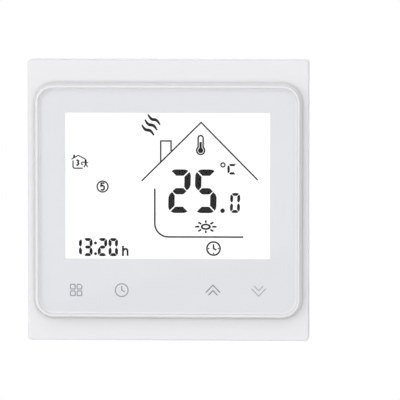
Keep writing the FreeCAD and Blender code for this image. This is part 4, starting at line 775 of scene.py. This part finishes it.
# six tracks run to the header, eight between the chips, and four round each side to the touch posts
LEADS, LEAD_PITCH, TOUCH_PITCH, BUS_PITCH = 10, 1.0, 1.225, 0.9
drawing = bmesh.new()
for i in range(LEADS):
    x = (i - (LEADS - 1) / 2) * LEAD_PITCH
    if i < 6:
        pin_x = (i - 2.5) * HEADER_PITCH
        track(drawing, (x, chip_high.z), (pin_x, header_low.z + 1.2), 0.35, control_back, 1)
    touch_x = (i - (LEADS - 1) / 2) * TOUCH_PITCH
    if 1 <= i <= 8:
        track(drawing, (x, chip_low.z), (touch_x, touch_high.z), 0.3, control_back, 1)
for side in (-1, 1):
    for i in range(4):
        step = i * BUS_PITCH
        track(drawing, (side * (18 + step), -12.5 + step), (side * (11 + step), 27.0 - step), 0.4,
              control_back, 1)
    track(drawing, (side * 29.2, -27.0), (side * 6.5, touch_high.z + 1.0), 0.4, control_back, 1)
make_piece("control_board_tracks", drawing, masked_copper, "front")

solder = plated_metal("tin_silver_copper_solder", "D6D8DA", "BFC2C5", 0.3, 0.3, 0.6, 0.004)
vias = rows(0, 4.0, 7, 3, 5.0) + rows(-26.0, 14.0, 3, 4, 3.2) + rows(26.0, 14.0, 3, 4, 3.2)
grow("control_board_vias", solder_tree, [Vector((x * MM, control_back, z * MM)) for x, z in vias],
     "front", "tinned_steel", solder, Radius=0.45, Height=0.12)

material, tree, shader, where = start_material("black_epoxy_package", (1.2, "202022", "2B2B2D"))
# Transfer-moulded epoxy: near black, dull, with a fine spark-eroded texture.
tree.links.new(spread(tree, where, 0.6, 0.5, 0.62), shader.inputs["Roughness"])
grain(tree, shader, where, 0.15, 0.008, 3.0)
finish(material, "chip_resin", "microcontroller", "touch_controller", "rectifier", "power_ic")
finish(tinned, "tinned_steel", "clock_crystal")

# Nylon with carbon black, straight from a fine-sparked tool.
black_nylon = moulded_plastic("black_glass_filled_nylon", "2A2A2C", "222224", 0.46, 0.3, 0.01, 7.0)
finish(black_nylon, "black_plastic", "buzzer", "battery_holder", "pin_header_body", "socket_body")

nickel = plated_metal("nickel_plated_steel", "CFCBC2", "BDB8AE", 0.24, 0.2, 2.0, 0.002)
finish(nickel, "nickel_steel", "backup_battery")
gilt = plated_metal("gold_flashed_bronze", "E3C06A", "CFA850", 0.24, 0.1, 1.0, 0.002)
finish(gilt, "gilt_pins", "pin_header_pins", "socket_contacts")

# Amber glass fused round the thermistor chip: glossy and a little deep, with darker streaks.
material = start_material("sealed_glass_bead", (1.0, "8A4A1E", "C98B4A"), Roughness=0.08,
                          Subsurface_Weight=0.15, Subsurface_Scale=0.5 * MM)[0]
finish(material, "bead_glass", "room_sensor")

material, tree, shader, where = start_material("carbon_loaded_foam", Roughness=0.9)
# Conductive polyurethane foam: dark grey open cells of about 0.4 mm, quite dull.
cells = add(tree, "ShaderNodeTexVoronoi", {"Vector": where, "Scale": 1 / 0.4})
tint = add(tree, "ShaderNodeMix", {0: cells.outputs["Distance"], 6: colour("3A3A3C"), 7: colour("232324")},
           data_type="RGBA")
tree.links.new(tint.outputs[2], shader.inputs["Base Color"])
relief(tree, shader, cells.outputs["Distance"], 0.08)
finish(material, "conductive_foam", "touch_posts")

# ---------------------------------------------------------------- screws
# Cold-headed steel screws with rolled threads and cross recesses, zinc plated and blue passivated.
# Two hold the base to the wall box, six clamp the wires, and small ones hold the boards and the box.

zinc = plated_metal("zinc_plated_steel_screws", "D3D7DA", "B9BFC4", 0.27, 0.15, 0.8, 0.003)

SCREW_SIZES = ("Thread radius", "Thread length", "Pitch", "Depth", "Neck", "Head radius", "Head height",
               "Dome", "Recess reach", "Recess width", "Recess depth")
AROUND, ALONG = 25, 241
HELD_IN_HEAD = 0.3 * MM
CLOSED_END = 0.001
screw_tree, inputs = sheet_group("cross_recess_screw", SCREW_SIZES)
wrapped = add(screw_tree, "GeometryNodeMeshGrid",
              {"Size X": 1.0, "Size Y": 1.0, "Vertices X": AROUND, "Vertices Y": ALONG})
at = add(screw_tree, "ShaderNodeSeparateXYZ", {0: add(screw_tree, "GeometryNodeInputPosition")})
flat = add(screw_tree, "ShaderNodeCombineXYZ", {0: at.outputs["X"], 1: at.outputs["Y"]})
from_axis = add(screw_tree, "ShaderNodeVectorMath", {0: flat}, operation="LENGTH").outputs["Value"]
part = {name: inputs[name] for name in SCREW_SIZES}
part.update({"x": at.outputs["X"], "y": at.outputs["Y"], "z": at.outputs["Z"], "from axis": from_axis})
for result, operation, *operands in (
        # the sheet's X goes round the thread and its Y along it, from inside the head to the tip
        ("turn", "MULTIPLY", "x", 2 * math.pi),
        ("share", "ADD", "y", 0.5),
        ("full length", "ADD", "Thread length", HELD_IN_HEAD),
        ("length here", "MULTIPLY", "share", "full length"),
        ("pitches", "DIVIDE", "length here", "Pitch"),
        ("helix", "ADD", "pitches", "x"),
        ("flank", "PINGPONG", "helix", 0.5),
        ("trough", "MULTIPLY", "flank", 2.0),
        # the thread runs out into the plain neck, and the tip is chamfered by its own depth
        ("past neck", "SUBTRACT", "length here", "Neck"),
        ("grown", "DIVIDE", "past neck", "Pitch"),
        ("cut", "MULTIPLY", "trough", "grown"),
        ("groove", "MULTIPLY", "cut", "Depth"),
        ("left over", "SUBTRACT", "full length", "length here"),
        ("chamfer", "SUBTRACT", "Pitch", "left over"),
        ("chamfered", "MAXIMUM", "chamfer", 0.0),
        ("deeper", "MAXIMUM", "groove", "chamfered"),
        ("radius", "SUBTRACT", "Thread radius", "deeper"),
        # both ends close on the axis
        ("before tip", "LESS_THAN", "share", 1 - CLOSED_END),
        ("after start", "GREATER_THAN", "share", CLOSED_END),
        ("open part", "MULTIPLY", "before tip", "after start"),
        ("closed radius", "MULTIPLY", "radius", "open part"),
        ("cosine", "COSINE", "turn"),
        ("sine", "SINE", "turn"),
        ("thread x", "MULTIPLY", "cosine", "closed radius"),
        ("thread y", "MULTIPLY", "sine", "closed radius"),
        ("down", "SUBTRACT", HELD_IN_HEAD, "length here"),
        # the head is a short round bar, domed towards its rim by the fourth power
        ("rim share", "DIVIDE", "from axis", "Head radius"),
        ("falling", "POWER", "rim share", 4.0),
        ("dome", "MULTIPLY", "falling", "Dome"),
        ("top only", "GREATER_THAN", "z", 0.0),
        ("drop", "MULTIPLY", "dome", "top only"),
        ("half tall", "MULTIPLY", "Head height", 0.5),
        ("raised by", "SUBTRACT", "half tall", "drop"),
        ("bar long", "MULTIPLY", "Recess reach", 2.0),
        ("bar deep", "MULTIPLY", "Recess depth", 2.0)):
    values = {i: part.get(operand, operand) for i, operand in enumerate(operands)}
    part[result] = add(screw_tree, "ShaderNodeMath", values, operation=operation, use_clamp=result == "grown")

thread_at = add(screw_tree, "ShaderNodeCombineXYZ",
                {0: part["thread x"], 1: part["thread y"], 2: part["down"]})
thread = add(screw_tree, "GeometryNodeSetPosition", {"Geometry": wrapped, "Position": thread_at})
thread_out = add(screw_tree, "GeometryNodeFlipFaces", {0: thread})
seamed = add(screw_tree, "GeometryNodeMergeByDistance", {"Geometry": thread_out, "Distance": 0.01 * MM})
head = add(screw_tree, "GeometryNodeMeshCylinder", {
    "Vertices": 40, "Side Segments": 1, "Fill Segments": 8, "Radius": inputs["Head radius"],
    "Depth": inputs["Head height"]})
lowered = add(screw_tree, "ShaderNodeCombineXYZ", {2: part["raised by"]})
domed = add(screw_tree, "GeometryNodeSetPosition", {"Geometry": head, "Offset": lowered})
# the recess is two crossed bars taken out of the head
lift = add(screw_tree, "ShaderNodeCombineXYZ", {2: inputs["Head height"]})
recessed = domed.outputs[0]
for across, up in (("bar long", "Recess width"), ("Recess width", "bar long")):
    size = add(screw_tree, "ShaderNodeCombineXYZ", {0: part[across], 1: part[up], 2: part["bar deep"]})
    bar = add(screw_tree, "GeometryNodeMeshCube", {"Size": size}).outputs["Mesh"]
    raised = add(screw_tree, "GeometryNodeTransform", {"Geometry": bar, "Translation": lift})
    recessed = add(screw_tree, "GeometryNodeMeshBoolean", {"Mesh 1": recessed, "Mesh 2": raised},
                   operation="DIFFERENCE").outputs["Mesh"]
joined = add(screw_tree, "GeometryNodeJoinGeometry", {0: seamed})
screw_tree.links.new(recessed, joined.inputs[0])
facing_out = add(screw_tree, "GeometryNodeTransform", {"Geometry": joined, "Rotation": (math.pi / 2, 0, 0)})
end_group(screw_tree, inputs, facing_out)


def screws(name, node, body, seats, end, slot, sizes):
    """Screws seated under their heads, with their tips at an end in Y, in front of or behind the seat."""
    seat = seats[0].y
    made = grow(name, screw_tree, seats, body, slot, zinc, flip_at=seat if end < seat else None,
                **{**sizes, "Thread length": abs(end - seat) / MM})
    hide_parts(node)


# machine screws M4 x 25 with pan heads, one on each side, pulled against the base plate
M4_PAN = {"Thread radius": 2.0, "Pitch": 0.7, "Depth": 0.3, "Neck": 2.4, "Head radius": 3.5,
          "Head height": 2.6, "Dome": 1.1, "Recess reach": 1.9, "Recess width": 1.1, "Recess depth": 1.6}
for side in ("left", "right"):
    name = f"mounting_screw_{side}"
    low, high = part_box(name)
    seat = Vector(((low.x + high.x) / 2, low.y + M4_PAN["Head height"] * MM, (low.z + high.z) / 2))
    screws(name + "_m4", name, name, [seat], high.y, "zinc_machine_screw", M4_PAN)

# clamp screws M3 with low heads that face backwards
M3_CLAMP = {"Thread radius": 1.5, "Pitch": 0.5, "Depth": 0.22, "Neck": 0.2, "Head radius": 2.0,
            "Head height": 1.9, "Dome": 0.25, "Recess reach": 1.4, "Recess width": 0.7, "Recess depth": 1.1}
for i in range(1, 7):
    name = f"terminal_screw_{i}"
    low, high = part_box(name)
    seat = Vector(((low.x + high.x) / 2, high.y - M3_CLAMP["Head height"] * MM, (low.z + high.z) / 2))
    screws(f"clamp_screw_{i}", name, name, [seat], low.y, "zinc_screw", M3_CLAMP)

# four small plastic-thread screws hold the box from the front, and four the control board from behind
SMALL = {"Thread radius": 0.95, "Pitch": 0.8, "Depth": 0.25, "Neck": 0.4, "Head radius": 1.9,
         "Head height": 1.0, "Dome": 0.3, "Recess reach": 1.1, "Recess width": 0.5, "Recess depth": 0.6}
for node, body, backwards in (("box_screws", "base", False), ("board_screws", "front", True)):
    low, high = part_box(node)
    inset = SMALL["Head radius"] * MM
    head_tall = SMALL["Head height"] * MM
    seat_y, end = (high.y - head_tall, low.y) if backwards else (low.y + head_tall, high.y)
    seats = [Vector((x, seat_y, z)) for x in (low.x + inset, high.x - inset)
             for z in (low.z + inset, high.z - inset)]
    screws(node + "_threaded", node, body, seats, end, "zinc_screw", SMALL)

# ---------------------------------------------------------------- base plate and rear box
# Injection mouldings in matt white ABS.  The box hangs behind the plate in the wall and has an open
# bay at its lower back, where the wires go in.

# A fine etched tool, 0.3 mm grain drawn at 0.5 mm, takes the shine off these two.
matt_abs = moulded_plastic("white_etched_abs", "E8E8E6", "E2E2DF", 0.55, 0.5, 0.012)
finish(matt_abs, "white_matt_abs", "base_plate", "rear_box")

# ---------------------------------------------------------------- power board and its parts
# A second board behind the base plate carries the supply, the relay and the six terminals, all on
# the side that faces into the wall box.

power_mask = board_material("dark_green_solder_mask", "1B5F37", "164E2D")
finish(power_mask, "circuit_board", "power_board")
power_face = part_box("power_board")[0].y
pole_middles = [sum(c.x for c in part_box(f"terminal_screw_{i}")) / 2 / MM for i in range(1, 7)]

# broad mains tracks climb from the terminals, and narrow ones come down from the header
drawing = bmesh.new()
for i, x in enumerate(sorted(pole_middles)):
    track(drawing, (x, -8.0), (x * 0.72, 4.0 + 2.2 * (i % 3)), 1.6, power_face, -1)
for x, z in header_pins[::2]:
    track(drawing, (x, header_low.z - 0.8), (x * 0.8, 8.8), 0.6, power_face, -1)
make_piece("power_board_tracks", drawing, masked_copper, "base")

# the joints of the relay, the transformer and the parts with two wires, spaced as their wires are
low, high = box_mm("relay_cover")
pins = [(low.x + 3, low.z + 2.5), (low.x + 3, high.z - 2.5), (high.x - 3, low.z + 2.5),
        (high.x - 3, high.z - 2.5), (low.x + 9, high.z - 3)]
for name, columns, lines, pitch, pitch_z in (("transformer_core", 3, 2, 4.0, 9.0),
                                             ("mains_capacitor", 2, 1, 3.5, None),
                                             ("x_capacitor", 2, 1, 10.0, None), ("fuse", 2, 1, 5.0, None)):
    low, high = box_mm(name)
    pins += rows((low.x + high.x) / 2, (low.z + high.z) / 2, columns, lines, pitch, pitch_z)
grow("power_board_solder", solder_tree, [Vector((x * MM, power_face, z * MM)) for x, z in pins],
     "base", "tinned_steel", solder, flip_at=power_face, Radius=0.95, Height=0.7)

material, tree, shader, where = start_material("clear_smoked_polycarbonate", (5.0, "2F5E86", "386C97"),
                                               Roughness=0.25, IOR=1.58)
# The relay's dust cover: blue-tinted, moulded, smooth and a little cloudy.
grain(tree, shader, where, 0.4, 0.006)
finish(material, "relay_case", "relay_cover")
finish(black_nylon, "black_plastic", "relay_base")
finish(nickel, "nickel_steel", "relay_core_yoke", "relay_armature")
brass = plated_metal("rolled_contact_brass", "D9B878", "C6A160", 0.26, 0.2, 3.0, 0.002)
finish(brass, "contact_brass", "relay_fixed_contacts", "terminal_bars")

# coil: rings of enamelled wire, 0.2 mm thick and drawn at 0.4 mm, wound between the bobbin's cheeks
WIRE, CORE_RADIUS, AROUND_COIL = 0.4 * MM, 1.9 * MM, 48
coil_low, coil_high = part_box("relay_coil")
coil_middle = (coil_low + coil_high) / 2
wire_line = (coil_high.x - coil_low.x) / 2 - WIRE / 2
profile = [(CORE_RADIUS, coil_low.y)]
for turn in range(int((coil_high.y - coil_low.y) / WIRE)):
    for angle in (-60, 0, 60):
        a = math.radians(angle)
        profile.append((wire_line + WIRE / 2 * math.cos(a),
                        coil_low.y + WIRE * (turn + 0.5) + WIRE * 0.5 * math.sin(a)))
profile += [(profile[-1][0], coil_high.y), (CORE_RADIUS, coil_high.y)]
rings = []
for i in range(AROUND_COIL):
    a = 2 * math.pi * i / AROUND_COIL
    rings.append([(coil_middle.x + r * math.cos(a), y, coil_middle.z + r * math.sin(a)) for r, y in profile])
drawing = bmesh.new()
loft(drawing, rings, closed=True)
# Copper under clear polyurethane enamel: bright red-brown metal with a glassy coat.
material = start_material("enamelled_copper_wire", (1.0, "B4632F", "C9794A"), Metallic=0.9,
                          Roughness=0.3, Coat_Weight=0.6)[0]
coil = make_piece("relay_coil_windings", drawing, material, "base")
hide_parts("relay_coil")

material, tree, shader, where = start_material("sintered_ferrite", Roughness=0.6)
# Pressed and fired ferrite: charcoal grey, dull, slightly grainy, with pale chipped specks.
specks = add(tree, "ShaderNodeTexVoronoi", {"Vector": where, "Scale": 1 / 0.9})
speck = add(tree, "ShaderNodeMath", {0: specks.outputs["Distance"], 1: 0.12}, operation="LESS_THAN")
tint = add(tree, "ShaderNodeMix", {0: speck, 6: colour("3B3B3D"), 7: colour("56565A")}, data_type="RGBA")
tree.links.new(tint.outputs[2], shader.inputs["Base Color"])
grain(tree, shader, where, 0.3, 0.02, 3.0)
finish(material, "ferrite", "transformer_core")

material, tree, shader, where = start_material("yellow_polyester_tape", Roughness=0.32)
# Transformer tape: translucent yellow film laid in turns 1 mm apart, with a soft shine.
laps = add(tree, "ShaderNodeTexWave", {"Vector": where, "Scale": BAND / 1.0, "Distortion": 0.6},
           bands_direction="Y", wave_profile="SAW")
tint = add(tree, "ShaderNodeMix", {0: laps.outputs["Fac"], 6: colour("D9A92B"), 7: colour("E8BE45")},
           data_type="RGBA")
tree.links.new(tint.outputs[2], shader.inputs["Base Color"])
relief(tree, shader, laps.outputs["Fac"], 0.05)
finish(material, "winding_tape", "transformer_winding")

material, tree, shader, where = start_material("shrunk_pvc_sleeve", Roughness=0.22)
# Dark blue sleeve shrunk on an aluminium can: glossy, with faint lengthwise drag marks.
drawn = add(tree, "ShaderNodeMapping", {"Vector": where, "Scale": (1.0, 0.15, 1.0)})
tree.links.new(spread(tree, drawn, 1.2, "1F2C3A", "27384A"), shader.inputs["Base Color"])
grain(tree, shader, drawn, 0.6, 0.02)
finish(material, "capacitor_sleeve", "mains_capacitor")

# Flame-retardant polyester case, potted: dull yellow with a fine sparked grain.
yellow_case = moulded_plastic("yellow_polybutylene_case", "D8B23A", "CCA530", 0.4, 0.3, 0.01, 6.0)
finish(yellow_case, "capacitor_case", "x_capacitor")

material, tree, shader, where = start_material("dipped_blue_epoxy", (2.0, "23579B", "2C66AE"),
                                               Roughness=0.2)
# Dipped coating: glossy blue with the slow swell of a thick drop.
grain(tree, shader, where, 1.4, 0.12)
finish(material, "blue_epoxy", "varistor")

# Fuse case in brown polyamide: dull, with the same fine grain.
brown_case = moulded_plastic("brown_polyamide_fuse_case", "5B3A26", "4E311F", 0.42, 0.3, 0.01, 5.0)
finish(brown_case, "fuse_case", "fuse")

# ---------------------------------------------------------------- terminal block
# One nylon moulding with six chambers, numbered on its back.  In each, a screw pulls a zinc-plated
# cage up against the contact bar and holds the wire between them.

# Natural polyamide: pale grey, dull, with a fine sparked grain of 0.4 mm.
nylon = moulded_plastic("pale_grey_polyamide", "C9CCCB", "BFC3C2", 0.48, 0.4, 0.015, 8.0)
finish(nylon, "terminal_nylon", "terminal_housing")

# each number is one stroke through points of a box one unit tall
STROKES = {
    1: [(-0.25, 0.3), (0.05, 0.5), (0.05, -0.5)],
    2: [(-0.28, 0.25), (-0.2, 0.45), (0.0, 0.5), (0.2, 0.45), (0.28, 0.25), (0.2, 0.02), (-0.28, -0.5),
        (0.3, -0.5)],
    3: [(-0.28, 0.38), (-0.1, 0.5), (0.12, 0.5), (0.27, 0.35), (0.24, 0.12), (0.02, 0.02), (0.26, -0.12),
        (0.29, -0.34), (0.12, -0.5), (-0.1, -0.5), (-0.29, -0.38)],
    4: [(0.3, -0.22), (-0.3, -0.22), (0.14, 0.5), (0.14, -0.5)],
    5: [(0.26, 0.5), (-0.22, 0.5), (-0.27, 0.05), (0.02, 0.12), (0.24, 0.02), (0.29, -0.22),
        (0.14, -0.46), (-0.06, -0.5), (-0.3, -0.4)],
    6: [(0.22, 0.42), (0.02, 0.5), (-0.2, 0.34), (-0.28, 0.0), (-0.26, -0.3), (-0.1, -0.5), (0.12, -0.5),
        (0.27, -0.34), (0.26, -0.1), (0.1, 0.06), (-0.12, 0.04), (-0.26, -0.12)]}
NUMBER_TALL, NUMBER_LINE, NUMBER_PROUD, NUMBER_SUNK, BELOW_TOP = 2.3, 0.26 * MM, 0.3 * MM, 0.1 * MM, 3.0
block_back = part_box("terminal_housing")[1]
number_z = block_back.z / MM - BELOW_TOP
drawing = bmesh.new()
for i, x in enumerate(pole_middles, 1):
    # the face looks backwards, so the number is mirrored in X
    points = [(x - px * NUMBER_TALL, number_z + pz * NUMBER_TALL) for px, pz in STROKES[i]]
    line(drawing, millimetres(points), NUMBER_LINE, block_back.y + NUMBER_PROUD, block_back.y - NUMBER_SUNK)
make_piece("terminal_numbers", drawing, nylon, "base")

cage_zinc = plated_metal("zinc_plated_pressed_cages", "C9CED2", "AFB6BB", 0.34, 0.2, 1.0, 0.004)
finish(cage_zinc, "zinc_cage", *[f"terminal_cage_{i}" for i in range(1, 7)])
